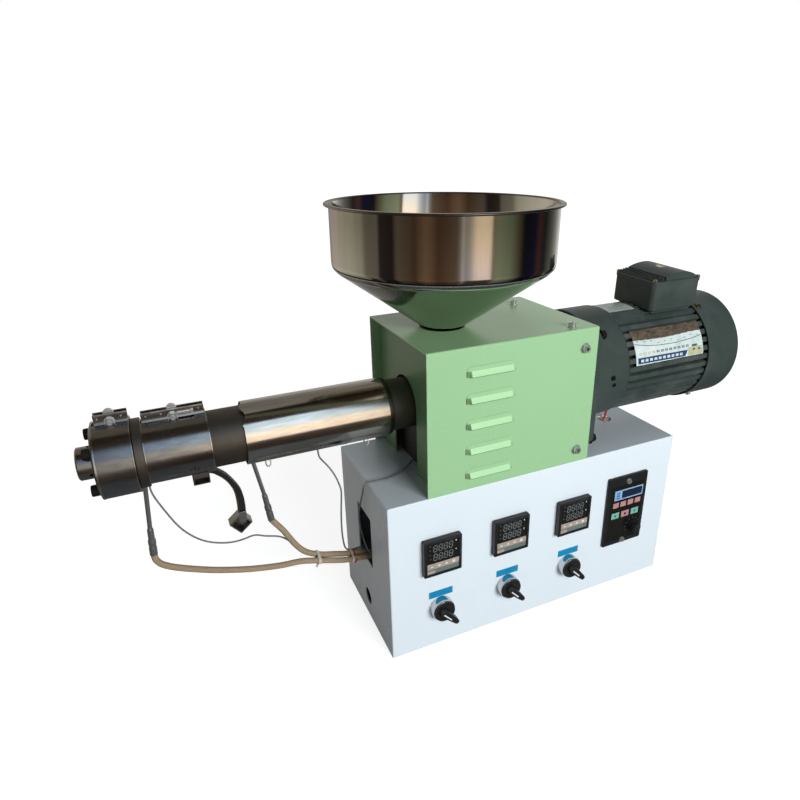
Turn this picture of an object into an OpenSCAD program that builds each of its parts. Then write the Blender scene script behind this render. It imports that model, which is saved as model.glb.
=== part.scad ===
// Table-top filament extruder: a sheet cabinet carries a hooded feed head, a
// heated barrel reaching out to the left and a geared motor reaching out right.
// Frame: X along the barrel towards the motor, Y to the back, Z up, origin at
// the middle of the cabinet's underside. Millimetres.

/* [Cabinet] */
// length of the cabinet along the barrel
cabinet_len = 405; // [350:1:460]
// depth from the control face to the back
cabinet_depth = 165; // [150:1:200]
// height of the cabinet, deck included
cabinet_h = 208; // [180:1:240]
// thickness of the cabinet and hood sheet
sheet_t = 1.5; // [1:0.5:3]
// width of the cable port in the left end
port_w = 48; // [30:1:60]
// height of the cable port
port_h = 70; // [40:1:80]
// height of the port's sill above the table
port_sill = 89; // [60:1:110]
// diameter of the round vent hole under the port
vent_d = 22; // [10:1:30]
// diameter of the wire hole in the deck below the motor
deck_hole_d = 20; // [12:1:30]

/* [Hood] */
// length of the green hood
hood_len = 215; // [190:1:240]
// height of the hood above the deck
hood_h = 168; // [150:1:190]
// how far the slotted end plate is set back inside the hood
end_inset = 11.5; // [5:0.5:20]
// radius of the barrel slot in the end plate
slot_r = 33; // [32:0.5:40]
// height of one louvre
louvre_h = 9.5; // [6:0.5:14]
// length of one louvre
louvre_len = 56; // [40:1:70]
// spacing of the louvres up the hood
louvre_pitch = 30.2; // [25:0.1:33]
// how far a louvre stands proud of the sheet
louvre_out = 3.5; // [2:0.5:6]

// thickness of the bracket plate behind the feed head
bracket_t = 12; // [8:1:20]
// depth of the frame round the bracket plate
bracket_rim = 22; // [10:1:30]
// width of that frame
rim_w = 16; // [10:1:24]
// width of the feed block
feed_w = 76; // [60:1:90]
// length of the feed block
feed_len = 80; // [60:1:100]
// radius of the throat boss on the feed block
boss_r = 31; // [29:0.5:36]
// radius of the bearing housing
bearing_r = 34; // [26:0.5:40]

/* [Barrel] */
// height of the barrel's axis above the deck
barrel_rise = 81; // [70:1:90]
// radius of the bare barrel
barrel_r = 30; // [25:0.5:32]
// diameter of the feed screw
screw_d = 20; // [16:0.5:24]
// radius of the polished heater sheath
sheath_r = 34; // [32:0.5:38]
// length of the polished heater sheath
sheath_len = 162.5; // [140:0.5:180]
// radius of the rear heater band
rear_band_r = 33; // [31:0.5:36]
// length of the rear heater band
rear_band_len = 62; // [40:1:70]
// radius of the front heater band
front_band_r = 38.5; // [37:0.5:42]
// radius of the barrel's front flange
flange_r = 35.3; // [34:0.1:38]
// radius of the nozzle
nozzle_r = 16.4; // [12:0.1:20]
// length of the nozzle
nozzle_len = 16; // [10:1:24]
// length of the die head
die_len = 36; // [30:1:50]
// thickness of the barrel's flange
flange_t = 9; // [6:0.5:14]
// thickness of the front heater band's sheet
band_t = 2.5; // [1:0.5:3]
// height of the clamping ears on the front band
front_ear_h = 10; // [8:0.5:20]
// height of the clamping ears on the rear band
rear_ear_h = 9.5; // [8:0.5:20]
// diameter of the outlet in the nozzle
outlet_d = 3; // [1.5:0.5:4]

/* [Hopper] */
// radius of the hopper's straight wall
hopper_r = 122.9; // [100:0.1:130]
// height of the hopper's rim above the table
hopper_top = 513.2; // [480:0.1:540]
// height where the straight wall rounds into the cone
hopper_seam = 453.5; // [430:0.5:460]
// radius of the hopper's neck
neck_r = 25; // [20:0.1:30]
// half the thickness of the hopper's turned-out lip
rim_r = 1.3; // [1:0.1:2]
// how far the lip stands out from the hopper's wall
rim_out = 5.2; // [4:0.1:8]
// radius of the shoulder between the hopper's wall and cone
hopper_round = 14; // [6:1:20]
// thickness of the hopper sheet
hopper_t = 1.2; // [1:0.1:2]
// degrees the hopper leans to the motor's side
hopper_lean_y = 0.75; // [0:0.05:0.8]
// degrees the hopper leans to the front
hopper_lean_x = 0.48; // [0:0.02:0.5]

/* [Motor] */
// height of the motor's axis above the barrel's axis
motor_rise = 10.5; // [0:0.5:20]
// radius over the cooling ribs
motor_r = 70; // [60:0.5:74]
// depth of the cooling ribs
rib_depth = 6; // [3:0.5:8]
// radius of the fan cowl
cowl_r = 72.5; // [71.5:0.5:77]
// side of the square gear flange
gear_flange_w = 150; // [140:1:160]
// thickness of the square gear flange
gear_flange_t = 18.5; // [12:0.5:25]
// length of the gear case
case_len = 50.5; // [40:0.5:70]
// length of the ribbed body up to the cowl
body_len = 130; // [100:0.5:160]
// length of the fan cowl
cowl_len = 58; // [50:1:80]
// radius of the cowl's rounded rear edge
cowl_round = 8; // [4:1:12]
// length of the terminal box
box_len = 79; // [60:1:100]
// width of the terminal box
box_w = 73; // [60:1:90]
// height of the terminal box above its neck
box_h = 34; // [28:0.5:50]
// degrees the terminal box leans to the front
box_lean = 2.2; // [0:0.1:4]
// thickness of the terminal box lid
lid_t = 4.5; // [3:0.5:8]

/* [Controls] */
// side of a temperature controller's face
controller_w = 48; // [46:1:50]
// spacing of the three controllers and their switches
control_pitch = 92; // [80:1:100]
// height of the controllers' centres
controller_z = 132.5; // [120:0.5:150]
// height of the switches' centres
switch_z = 56; // [40:1:70]
// radius of a switch's chrome bezel
bezel_r = 14.3; // [12:0.1:16]
// width of the speed controller's plate
speed_w = 64; // [50:1:70]
// how far a controller's face stands out
controller_out = 8; // [5:0.5:12]
// depth of a controller behind the panel
controller_deep = 70; // [50:1:100]
// how far a switch's bezel stands out
bezel_out = 11; // [6:0.5:15]
// thickness of the speed controller's plate
speed_t = 3.5; // [2:0.5:6]
// height of the speed controller's plate
speed_h = 103.5; // [90:0.5:120]

/* [Clearances] */
// radial gap of a turning stem in its bore
stem_gap = 0.08; // [0.02:0.01:0.1]
// gap at each side of a controller body in its cut-out
cutout_gap = 0.3; // [0.1:0.1:0.6]
// radial gap of the hopper's neck in its boss
neck_gap = 0.6; // [0.5:0.05:0.8]
// radial gap of the feed screw in the barrel
screw_gap = 0.1; // [0.05:0.01:0.2]

/* [Hidden] */
$fn = 64;
xr = cabinet_len / 2;
yr = cabinet_depth / 2;
deck_z = cabinet_h;
axis_y = 4.5;
axis_z = deck_z + barrel_rise;
motor_z = axis_z + motor_rise;
hood_x0 = 48.5 - xr;
hood_x1 = hood_x0 + hood_len;
hood_top = deck_z + hood_h;
end_x = hood_x0 + end_inset;
neck_seat = hood_top - 24;
throat_r = 0.95 * screw_d;
hopper_x = 109 - xr;
feed_x0 = 70 - xr;
feed_x1 = feed_x0 + feed_len;
mount_x = hood_x1 - bracket_t;
sheath_x1 = 34.5 - xr;
sheath_x0 = sheath_x1 - sheath_len;
band2_x1 = -161 - xr;
band2_x0 = band2_x1 - rear_band_len;
flange_x1 = band2_x0;
flange_x0 = flange_x1 - flange_t;
die_x0 = flange_x0 - die_len;
die_r = front_band_r - band_t;
nozzle_x0 = die_x0 - nozzle_len;
gear_x1 = hood_x1 + gear_flange_t;
case_x1 = gear_x1 + case_len;
body_x1 = case_x1 + body_len;
cowl_x1 = body_x1 + cowl_len;
box_x0 = body_x1 - 77.5;
box_x1 = box_x0 + box_len;
wire_x = (case_x1 + xr) / 2 - 9.75;
lid_z = motor_z + 101;
vault_r = 46.25;
vault_h = 9.5;
box_round = 7.5;
slat_pitch = 4;
controller_x = [63.5 - xr, 63.5 - xr + control_pitch, 63.5 - xr + 2 * control_pitch];
speed_x = (controller_x[2] + xr) / 2 + 7.25;
speed_z = controller_z - 16;
speed_knob_x = speed_x + 15;
speed_knob_z = speed_z - 28;
stem_r = 4;
lever_len = 20.5;
lever_out = 9.5;
rib_n = 40;
inlet_x = xr - 52.5;
inlet_z = 36;
cord_d = 7;
wire_d = 2;
lead_d = 2.6;

// how far the heated end, the port and the deck have moved from their usual places
at_barrel = [flange_x0 + 434.5, 0, axis_z - 289];
at_port = [202.5 - xr, 0, port_sill - 89];
at_deck = [202.5 - xr, 0, deck_z - 208];

// centre lines of the cords, from the heated end to where each one ends
sleeve_front_route = [[-437.9, 4.5, 168], [-437, 3.5, 161.5], [-431.5, 0.5, 155.5],
    [-418, -3.5, 149.7], [-396, -6, 141.5], [-375.5, -8, 135], [-344, -9, 126.3], [-310, -8, 119],
    [-286, -6, 115.5], [-266, -5, 109.5], [-248, -4.5, 103.3], [-229, -4, 97.5], [-204, -4, 94.3],
    [-190, -3, 88.5], [-179, -1, 74], [-176, 0, 50]];
sleeve_rear_route = [[-311.5, 4.5, 175], [-306.2, 3, 167.3], [-299.6, 2, 157.5], [-293.7, 1, 146],
    [-287.6, 0.5, 135], [-280.2, 1, 124.7], [-271.9, 3, 116.8], [-263, 4, 111.5], [-253.6, 4, 108],
    [-240, 4, 104.3], [-228.6, 4, 101], [-203, 4.5, 95.5], [-188, 6, 88], [-178, 8.5, 73],
    [-175, 9, 50]];
sensor_front_route = [[-428.4, 4.5, 255], [-427.8, 4.5, 243], [-423.7, 4.5, 229.4],
    [-411.6, 4.5, 200.5], [-401.4, 4.5, 184], [-388, 4.5, 170.5], [-373.5, 4.5, 162.5],
    [-358, 5, 158], [-345, 6, 157.3], [-332, 7, 158.3], [-319.7, 7, 153.3], [-304, 8, 147],
    [-293, 9, 136.5], [-282.4, 9.5, 121], [-265, 11, 107], [-240, 11, 100],
    [-224, 11, 97], [-203, 11, 95.5], [-186, 13, 87], [-180, 14.5, 72], [-178, 14.5, 50]];
sensor_rear_route = [[-251.2, 4.5, 256], [-250.7, 4.5, 247], [-249, 4.5, 239.5],
    [-240.7, 4.5, 227.2], [-234.3, 4.5, 215], [-230.3, 4.5, 204], [-227.3, 4.5, 192],
    [-227.5, 5, 180], [-229, 6, 156], [-229, 8, 133], [-227.5, 11, 116], [-224.3, 14, 101],
    [-216, 16, 95], [-203, 16.5, 95], [-190, 17.5, 90], [-181, 19.5, 72], [-178, 20, 50]];
sensor_hood_route = [[-132.5, 2, 214], [-154.5, -13.5, 210], [-174.5, -22.5, 209.4],
    [-191.5, -24, 209.8], [-203.2, -21.5, 209.4], [-206.5, -18, 203], [-206.5, -13, 191], [-206.5, 0.5, 166],
    [-206, 8.5, 143], [-205.5, -0.5, 123], [-204, -14, 111], [-196, -18, 101],
    [-180, -19, 76], [-177, -20, 50]];
motor_red_route = [[0.5, -4, 22.5], [-0.5, -4, 10], [-3.5, -3, -2], [-3.5, -3, -24]];
motor_black_route = [[7.5, 3, 22.5], [6.5, 3, 10], [3.5, 3, -2], [3.5, 3, -24]];

// ---- helpers ----

// a rod along X, from x0, about the line (y, z)
module rod_x(x0, len, r, y, z) {
    translate([x0, y, z]) rotate([0, 90, 0]) cylinder(h = len, r = r);
}

// a rod along Y, from y0 backwards, about the line (x, z)
module rod_y(y0, len, r, x, z) {
    translate([x, y0, z]) rotate([-90, 0, 0]) cylinder(h = len, r = r);
}

// a flat shape of (y, z) made thick along X
module slab_x(x0, len) {
    translate([x0, 0, 0]) rotate([90, 0, 90]) linear_extrude(len) children();
}

// a flat shape of (x, z) made thick towards the back
module slab_y(y0, len) {
    translate([0, y0 + len, 0]) rotate([90, 0, 0]) linear_extrude(len) children();
}

// a rectangle about a centre with rounded corners
module round_rect(cx, cz, w, h, r) {
    translate([cx - w / 2 + r, cz - h / 2]) square([w - 2 * r, h]);
    translate([cx - w / 2, cz - h / 2 + r]) square([w, h - 2 * r]);
    for (i = [-1, 1]) for (k = [-1, 1])
        translate([cx + i * (w / 2 - r), cz + k * (h / 2 - r)]) circle(r);
}

function unit(v) = v / norm(v);

// a route whose first point moves by one step and its last by another
function carried(p, a, b) = [for (i = [0 : len(p) - 1])
    p[i] + a * (1 - i / (len(p) - 1)) + b * i / (len(p) - 1)];

// a limp round cord swept along its route, closed at both ends
module cord(route, d, sides) {
    n = len(route);
    rings = [for (i = [0 : n - 1])
        let (t = unit(route[min(i + 1, n - 1)] - route[max(i - 1, 0)]))
        let (u = unit(cross(t, [0.05, 1, 0.1])))
        let (v = cross(t, u))
        for (k = [0 : sides - 1])
            route[i] + d / 2 * (cos(360 * k / sides) * u + sin(360 * k / sides) * v)];
    walls = [for (i = [0 : n - 2]) for (k = [0 : sides - 1])
        [i * sides + k, (i + 1) * sides + k,
            (i + 1) * sides + (k + 1) % sides, i * sides + (k + 1) % sides]];
    first = [for (k = [0 : sides - 1]) k];
    last = [for (k = [sides - 1 : -1 : 0]) (n - 1) * sides + k];
    polyhedron(points = rings, faces = concat([first], walls, [last]), convexity = 6);
}

// ---- cabinet ----

// folded tray: floor, back and right end in one sheet, with the flange of the inlet
module cabinet_tray() color("gainsboro") {
    difference() {
        union() {
            translate([-xr + sheet_t, -yr + sheet_t, 0])
                cube([cabinet_len - sheet_t, cabinet_depth - sheet_t, sheet_t]);
            translate([-xr + sheet_t, yr - sheet_t, 0])
                cube([cabinet_len - sheet_t, sheet_t, cabinet_h - sheet_t]);
            translate([xr - sheet_t, -yr + sheet_t, 0])
                cube([sheet_t, cabinet_depth - sheet_t, cabinet_h - sheet_t]);
        }
        translate([inlet_x - 13.5, yr - 10, inlet_z - 9.5]) cube([27, 20, 19]);
    }
}

// control face, cut out for three controllers, three switches and the speed unit
module cabinet_front_panel() color("white") {
    difference() {
        slab_y(-yr, sheet_t) difference() {
            translate([-xr, 0]) square([cabinet_len, cabinet_h - sheet_t]);
            for (x = controller_x)
                translate([x - 22.5, controller_z - 22.5]) square([45, 45]);
            translate([speed_x - speed_w / 2 + 3, speed_z - speed_h / 2 + 15.75])
                square([speed_w - 6, speed_h - 19.5]);
        }
        for (x = controller_x)
            rod_y(-yr - 5, 10, 11.2, x, switch_z);
        rod_y(-yr - 5, 10, 6, speed_knob_x, speed_knob_z - 1);
    }
}

// left end with the cable port and the round vent
module cabinet_left_end() color("white") {
    difference() {
        translate([-xr, -yr + sheet_t, 0])
            cube([sheet_t, cabinet_depth - sheet_t, cabinet_h - sheet_t]);
        translate([-xr - 5, -port_w / 2, port_sill]) cube([10, port_w, port_h]);
        rod_x(-xr - 5, 10, vent_d / 2, 0, 29.5);
    }
}

// deck that carries the hood, the feed head and the motor's wires
module cabinet_deck() color("white") {
    difference() {
        translate([-xr, -yr, cabinet_h - sheet_t])
            cube([cabinet_len, cabinet_depth, sheet_t]);
        translate([wire_x, 0, cabinet_h - 10]) cylinder(h = 20, r = deck_hole_d / 2);
    }
}

// ---- hood ----

// one louvre pressed out of the sheet: a hollow half capsule, open along its lower lip
module louvre(z0) {
    x0 = -106.5;
    difference() {
        slab_x(x0, louvre_len) polygon([[-yr + 0.5, z0 + louvre_h + 2], [-yr, z0 + louvre_h],
            [-yr - louvre_out * 0.7, z0 + louvre_h * 0.72], [-yr - louvre_out, z0 + louvre_h * 0.4],
            [-yr - louvre_out, z0], [-yr + 0.5, z0]]);
        slab_x(x0 + 1.2, louvre_len - 2.4) polygon([[-yr + 1, z0 + louvre_h - 1.5],
            [-yr - louvre_out * 0.55, z0 + louvre_h * 0.55],
            [-yr - louvre_out + 1.2, z0 + louvre_h * 0.35],
            [-yr - louvre_out + 1.2, z0 - 1], [-yr + 1, z0 - 1]]);
    }
}

// green cover folded over front, top and back, louvred front and back
module hood_cover() color("yellowgreen") {
    difference() {
        union() {
            translate([hood_x0, -yr, deck_z]) cube([hood_len, cabinet_depth, hood_h]);
            for (k = [0 : 4]) louvre(deck_z + 16 + k * louvre_pitch);
            mirror([0, 1, 0]) for (k = [0 : 4]) louvre(deck_z + 16 + k * louvre_pitch);
        }
        translate([hood_x0 - 1, -yr + sheet_t, deck_z - 1])
            cube([hood_len + 2, cabinet_depth - 2 * sheet_t, hood_h - sheet_t + 1]);
        for (k = [0 : 4]) for (s = [-1, 1])
            translate([-105.3, s * (yr - 1) - 1.5, deck_z + 16 + k * louvre_pitch])
                cube([louvre_len - 2.4, 3, louvre_h * 0.7]);
        translate([hopper_x, axis_y, hood_top - 50]) cylinder(h = 100, r = neck_r + 1.3);
    }
}

// end plate with the slot that lets the barrel out
module hood_end_plate() color("olivedrab") {
    difference() {
        translate([end_x, -yr + sheet_t, deck_z])
            cube([sheet_t, cabinet_depth - 2 * sheet_t, hood_h - sheet_t]);
        rod_x(end_x - 5, 10, slot_r, axis_y, axis_z);
        translate([end_x - 5, axis_y - slot_r, deck_z - 1]) cube([10, 2 * slot_r, barrel_rise + 1]);
    }
}

// thick bracket between feed head and motor, framed round its edge
module mount_plate() color("dimgray") {
    difference() {
        translate([mount_x - bracket_rim, -yr + sheet_t, deck_z])
            cube([bracket_rim + bracket_t, cabinet_depth - 2 * sheet_t, hood_h - sheet_t]);
        translate([mount_x - bracket_rim - 1, -yr + sheet_t + rim_w, deck_z + rim_w])
            cube([bracket_rim + 1, cabinet_depth - 2 * sheet_t - 2 * rim_w,
                hood_h - sheet_t - 2 * rim_w]);
        rod_x(mount_x - 5, bracket_t + 10, screw_d / 2 + 2, axis_y, axis_z);
    }
}

// black cast feed head: block under the hopper, throat above, bearing housing behind
module feed_housing() color("black") {
    difference() {
        union() {
            translate([feed_x0, axis_y - feed_w / 2, deck_z])
                cube([feed_len, feed_w, barrel_rise + feed_w / 2 + 2]);
            translate([hopper_x, axis_y, axis_z + 30])
                cylinder(h = neck_seat - axis_z - 30 + 11, r = boss_r);
            rod_x(feed_x1 - 5, mount_x - feed_x1 + 5, bearing_r, axis_y, axis_z);
        }
        rod_x(feed_x0 - 5, mount_x - feed_x0 + 10, screw_d / 2 + screw_gap, axis_y, axis_z);
        translate([hopper_x, axis_y, axis_z]) cylinder(h = 100, r = throat_r);
        translate([hopper_x, axis_y, neck_seat]) cylinder(h = 40, r = neck_r + neck_gap);
    }
}

// ---- geared motor ----

// square flange bolted to the bracket, with the coupling bore for the screw
module gear_flange() color("darkslategray") {
    difference() {
        slab_x(hood_x1, gear_x1 - hood_x1)
            round_rect(axis_y, axis_z, gear_flange_w, gear_flange_w, 15);
        rod_x(hood_x1 - 5, 17, screw_d / 2 + screw_gap, axis_y, axis_z);
    }
}

// round gear case
module gear_case() color("darkslategray") {
    difference() {
        rod_x(gear_x1, case_len, motor_r + 2, axis_y, motor_z);
        translate([case_x1, axis_y, motor_z]) rotate([0, 90, 0]) rotate_extrude()
            polygon([[motor_r - 0.5, 0.1], [motor_r + 4, 0.1], [motor_r + 4, -4.4]]);
    }
}

// ribbed motor body with a smooth pad on top and four lugs that hold the cowl
module motor_body() color("darkslategray") {
    step = 360 / rib_n;
    root = motor_r - rib_depth;
    slab_x(case_x1, body_len + 12) translate([axis_y, motor_z])
        polygon([for (i = [0 : rib_n - 1]) for (q = [0 : 3])
            let (a = (i + 0.5) * step + [-3.4, -3, 3, 3.4][q])
            let (r = [root, motor_r, motor_r, root][q])
            [r * cos(a), r * sin(a)]]);
    slab_x(case_x1, 0.37 * body_len) translate([axis_y, motor_z])
        polygon(concat([[0, 0]], [for (a = [118 : -7 : 62]) [motor_r * cos(a), motor_r * sin(a)]]));
    intersection() {
        rod_x(body_x1 + 2, 10, cowl_r - sheet_t, axis_y, motor_z);
        union() {
            for (a = [45, 135, 225, 315]) translate([body_x1 + 2, axis_y, motor_z])
                rotate([a, 0, 0]) translate([0, root - 8, -5])
                cube([10, rib_depth + 24, 10]);
        }
    }
}

// fan cowl: a pressed cup with a rounded rear edge and a ring of air slots
module fan_cowl() color("darkslategray") {
    e = cowl_r - cowl_round;
    f = cowl_round - sheet_t;
    difference() {
        translate([body_x1, axis_y, motor_z]) rotate([0, 90, 0]) rotate_extrude()
            polygon(concat([[cowl_r - sheet_t, 0], [cowl_r, 0]],
                [for (a = [0 : 15 : 90])
                    [e + cowl_round * cos(a), cowl_len - cowl_round * (1 - sin(a))]],
                [[0, cowl_len], [0, cowl_len - sheet_t]],
                [for (a = [90 : -15 : 0]) [e + f * cos(a), cowl_len - cowl_round + f * sin(a)]]));
        for (a = [0 : 45 : 315]) translate([cowl_x1 - 5, axis_y, motor_z])
            rotate([a, 0, 0]) translate([0, 0.29 * cowl_r, -4]) cube([10, 0.47 * cowl_r, 8]);
    }
}

// leans the terminal box and its lid about the motor's axis
module leaning() {
    translate([0, axis_y, motor_z]) rotate([box_lean, 0, 0])
        translate([0, -axis_y, -motor_z]) children();
}

// upright block of the terminal box, inset all round
module box_block(z, h, inset) {
    translate([0, 0, z]) linear_extrude(height = h)
        round_rect((box_x0 + box_x1) / 2, axis_y, box_len - 2 * inset, box_w - 2 * inset,
            box_round);
}

// terminal box on a neck saddled to the motor body
module terminal_box() color("darkslategray") leaning() {
    difference() {
        union() {
            box_block(lid_z - box_h, box_h, 0);
            box_block(lid_z - box_h - 14, 15, 6);
        }
        rod_x(box_x0 - 5, body_x1 - box_x0 + 5, motor_r, axis_y, motor_z);
        rod_x(body_x1 - 0.3, box_len, cowl_r + 0.3, axis_y, motor_z);
    }
}

// lid with a low barrel vault and four ribs
module terminal_box_lid() color("darkslategray") leaning() {
    top = lid_z + lid_t;
    box_block(lid_z, lid_t, -0.7);
    difference() {
        rod_y(axis_y - box_w / 2 + 2, box_w - 4, vault_r, body_x1 - 30.5, top + vault_h - vault_r);
        translate([box_x0 - box_len, axis_y - box_w, lid_z - 2 * vault_r])
            cube([3 * box_len, 2 * box_w, 2 * vault_r + lid_t / 2]);
    }
    for (i = [0 : 3]) translate([box_x0 + 3 + slat_pitch * i, axis_y - box_w / 2 + 2, lid_z + 1])
        cube([0.4 * slat_pitch, box_w - 4, lid_t + 0.6]);
}

// ---- hopper ----

// the hopper's own upright, leaning a little on its neck
module hopper_place() translate([hopper_x, axis_y, hood_top])
    rotate([hopper_lean_x, hopper_lean_y, 0]) translate([0, 0, -hood_top]) children();

// straight stainless wall with a turned-out lip
module hopper_wall() color("silver") {
    hopper_place() rotate_extrude($fn = 96) union() {
        translate([hopper_r - hopper_t, hopper_seam])
            square([hopper_t, hopper_top - hopper_seam - rim_r]);
        translate([hopper_r - hopper_t, hopper_top - 2 * rim_r])
            square([hopper_t + rim_out - rim_r, 2 * rim_r]);
        translate([hopper_r + rim_out - rim_r, hopper_top - rim_r]) circle(rim_r, $fn = 24);
    }
}

// stainless cone with a rounded shoulder and a short neck
module hopper_cone() color("silver") {
    s = hopper_seam;
    r = hopper_r;
    t = hopper_t;
    q = hopper_round;
    foot = neck_seat + 0.018 * neck_r;
    hopper_place() rotate_extrude($fn = 96)
        polygon(concat([[r - t, s]],
            [for (a = [0 : 10 : 50]) [r - q * (1 - cos(a)), s - q * sin(a)]],
            [[neck_r, hood_top + 1], [neck_r, foot], [neck_r - t, foot],
                [neck_r - t, hood_top + 1.4 * t]],
            [for (a = [50 : -10 : 10])
                [r - q + (q - t) * cos(a), s - (q - t) * sin(a)]]));
}

// ---- barrel and heaters ----

// thick steel barrel with its front flange
module barrel() color("dimgray") {
    difference() {
        union() {
            rod_x(flange_x0, feed_x0 - flange_x0, barrel_r, axis_y, axis_z);
            rod_x(flange_x0, flange_x1 - flange_x0, flange_r, axis_y, axis_z);
        }
        rod_x(flange_x0 - 5, feed_x0 - flange_x0 + 10, screw_d / 2 + screw_gap, axis_y, axis_z);
    }
}

// feed screw, drawn as its outside envelope with a pointed tip
module feed_screw() color("silver") {
    rod_x(flange_x0 + 10, hood_x1 + 10 - flange_x0 - 10, screw_d / 2, axis_y, axis_z);
    translate([flange_x0 + 10, axis_y, axis_z]) rotate([0, -90, 0])
        cylinder(h = 8, r1 = screw_d / 2, r2 = 3);
}

// polished sheath over the long rear heater
module heater_sheath() color("lightgray") {
    difference() {
        rod_x(sheath_x0, sheath_len, sheath_r, axis_y, axis_z);
        rod_x(sheath_x0 - 5, sheath_len + 10, barrel_r, axis_y, axis_z);
    }
}

// die head bolted on in front of the flange
module die_head() color("gray") {
    difference() {
        rod_x(die_x0, die_len, die_r, axis_y, axis_z);
        rod_x(die_x0 - 5, die_len + 10, 0.4 * screw_d, axis_y, axis_z);
    }
}

// nozzle with the outlet for the filament
module nozzle() color("gray") {
    difference() {
        translate([nozzle_x0, axis_y, axis_z]) rotate([0, 90, 0]) rotate_extrude()
            polygon([[0, 0], [nozzle_r - 1.2, 0], [nozzle_r, 1.2], [nozzle_r, nozzle_len],
                [0, nozzle_len]]);
        rod_x(nozzle_x0 - 5, nozzle_len + 10, outlet_d / 2, axis_y, axis_z);
        translate([nozzle_x0 + 6, axis_y, axis_z]) rotate([0, 90, 0])
            cylinder(h = nozzle_len - 5.9, r1 = outlet_d / 2, r2 = 0.4 * screw_d);
    }
}

// ring of a heater band, split on top between two clamping ears
module split_band(x0, len, r_in, r_out, ear_x0, ear_len, ear_top) {
    difference() {
        union() {
            rod_x(x0, len, r_out, axis_y, axis_z);
            translate([ear_x0, axis_y - 4.5, axis_z + r_out - 4])
                cube([ear_len, 9, ear_top - axis_z - r_out + 4]);
        }
        rod_x(x0 - 5, len + 10, r_in, axis_y, axis_z);
        translate([x0 - 5, axis_y - 2.5, axis_z + r_in - 6]) cube([len + 10, 5, 40]);
    }
}

// front heater band round the die head
module heater_band_front() color("lightgray") {
    split_band(die_x0 + 2, die_len - 2, die_r, front_band_r, die_x0 + 6, die_len - 6,
        axis_z + front_band_r + front_ear_h);
}

// rear heater band with its terminal clip underneath
module heater_band_rear() color("lightgray") {
    split_band(band2_x0, rear_band_len, barrel_r, rear_band_r, band2_x0 + 2, rear_band_len - 3,
        axis_z + rear_band_r + rear_ear_h);
    difference() {
        translate([band2_x1 - 23, axis_y - 9, axis_z - rear_band_r - 12.5]) cube([17, 18, 16]);
        rod_x(band2_x1 - 30, 40, rear_band_r - 0.5, axis_y, axis_z);
    }
}

// bent strap under the barrel with a square block on its end
module hanging_clamp() color("gray") {
    outer = [[-6, -33], [0.2, -34.5], [7, -39.5], [13, -46.3], [20.8, -59.5], [24.7, -70.6],
        [25.7, -85], [24.8, -97]];
    inner = [[17, -99], [17.4, -86.5], [16.9, -73.6], [13.3, -60], [5.8, -46.5], [-1.5, -39.8],
        [-6, -38]];
    translate([band2_x1, axis_y, axis_z]) {
        difference() {
            slab_y(-4, 8) polygon(concat(outer, inner));
            rod_x(-20, 60, rear_band_r, 0, 0);
        }
        translate([18.2, -7, -105.5]) rotate([0, 50, 0]) translate([-9, 0, -9]) difference() {
            cube([18, 14, 18]);
            translate([4, -1, 4]) cube([10, 5, 10]);
        }
    }
}

// stiff lead tail of the front heater
module lead_probe_front() color("dimgray") translate([flange_x0, axis_y, axis_z]) {
    difference() {
        translate([-2.1, 0, -89.5]) rotate([0, 4.5, 0]) cylinder(h = 62, r = 2.4, $fn = 24);
        rod_x(-50, 60, flange_r, 0, 0);
    }
    translate([-3.4, 0, -121]) rotate([0, 3, 0]) cylinder(h = 32.5, r = 4.2, $fn = 24);
}

// stiff lead tail of the sheathed heater
module lead_probe_rear() color("dimgray") translate([sheath_x0, axis_y, axis_z]) {
    difference() {
        translate([14.8, 0, -81]) rotate([0, -9.4, 0]) cylinder(h = 58, r = 2.3, $fn = 24);
        rod_x(-50, 100, sheath_r, 0, 0);
    }
    translate([19, 0, -114]) rotate([0, -7, 0]) cylinder(h = 34.5, r = 4, $fn = 24);
}

// ---- cords ----

// braided sleeve from the front heater
module sleeve_front() color("tan") 
    cord(carried(sleeve_front_route, at_barrel, at_port), cord_d, 10);

// braided sleeve from the sheathed heater
module sleeve_rear() color("tan") 
    cord(carried(sleeve_rear_route, at_barrel, at_port), cord_d, 10);

// thin grey sensor wire from the flange
module sensor_wire_front() color("gray") 
    cord(carried(sensor_front_route, at_barrel, at_port), wire_d, 8);

// thin grey sensor wire from the sheath
module sensor_wire_rear() color("gray") 
    cord(carried(sensor_rear_route, at_barrel, at_port), wire_d, 8);

// thin grey sensor wire from the feed head, over the deck's edge and into the port
module sensor_wire_hood() color("gray") 
    cord(carried(sensor_hood_route, at_deck, at_port), wire_d, 8);

// red motor wire
module motor_lead_red() color("red") translate([wire_x, 0, deck_z])
    cord(motor_red_route, lead_d, 8);

// black motor wire
module motor_lead_black() color("black") translate([wire_x, 0, deck_z])
    cord(motor_black_route, lead_d, 8);

// terminal hung under the deck where the motor wires end
module motor_terminal() color("beige") {
    difference() {
        translate([wire_x - 18.5, -14, deck_z - 40]) cube([37, 28, 40 - sheet_t]);
        translate([wire_x - 13.5, -15, deck_z - 24]) cube([27, 30, 40]);
    }
}

// terminal strip on the floor where the other cords end
module terminal_strip() color("beige") {
    translate([10.5 - xr, -32, sheet_t]) cube([34, 64, port_sill - 39 - sheet_t]);
}

// ---- controls ----

// square temperature controller, face proud of the panel
module controller(x) {
    w = controller_w;
    translate([x - w / 2, -yr - controller_out, controller_z - w / 2]) difference() {
        cube([w, controller_out, w]);
        translate([3, -1, 3]) cube([w - 6, 2, w - 6]);
    }
    b = 45 - 2 * cutout_gap;
    translate([x - b / 2, -yr - 1, controller_z - b / 2]) cube([b, controller_deep + 2, b]);
}

// temperature controller of the first zone
module controller_1() color("black") controller(controller_x[0]);

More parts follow.
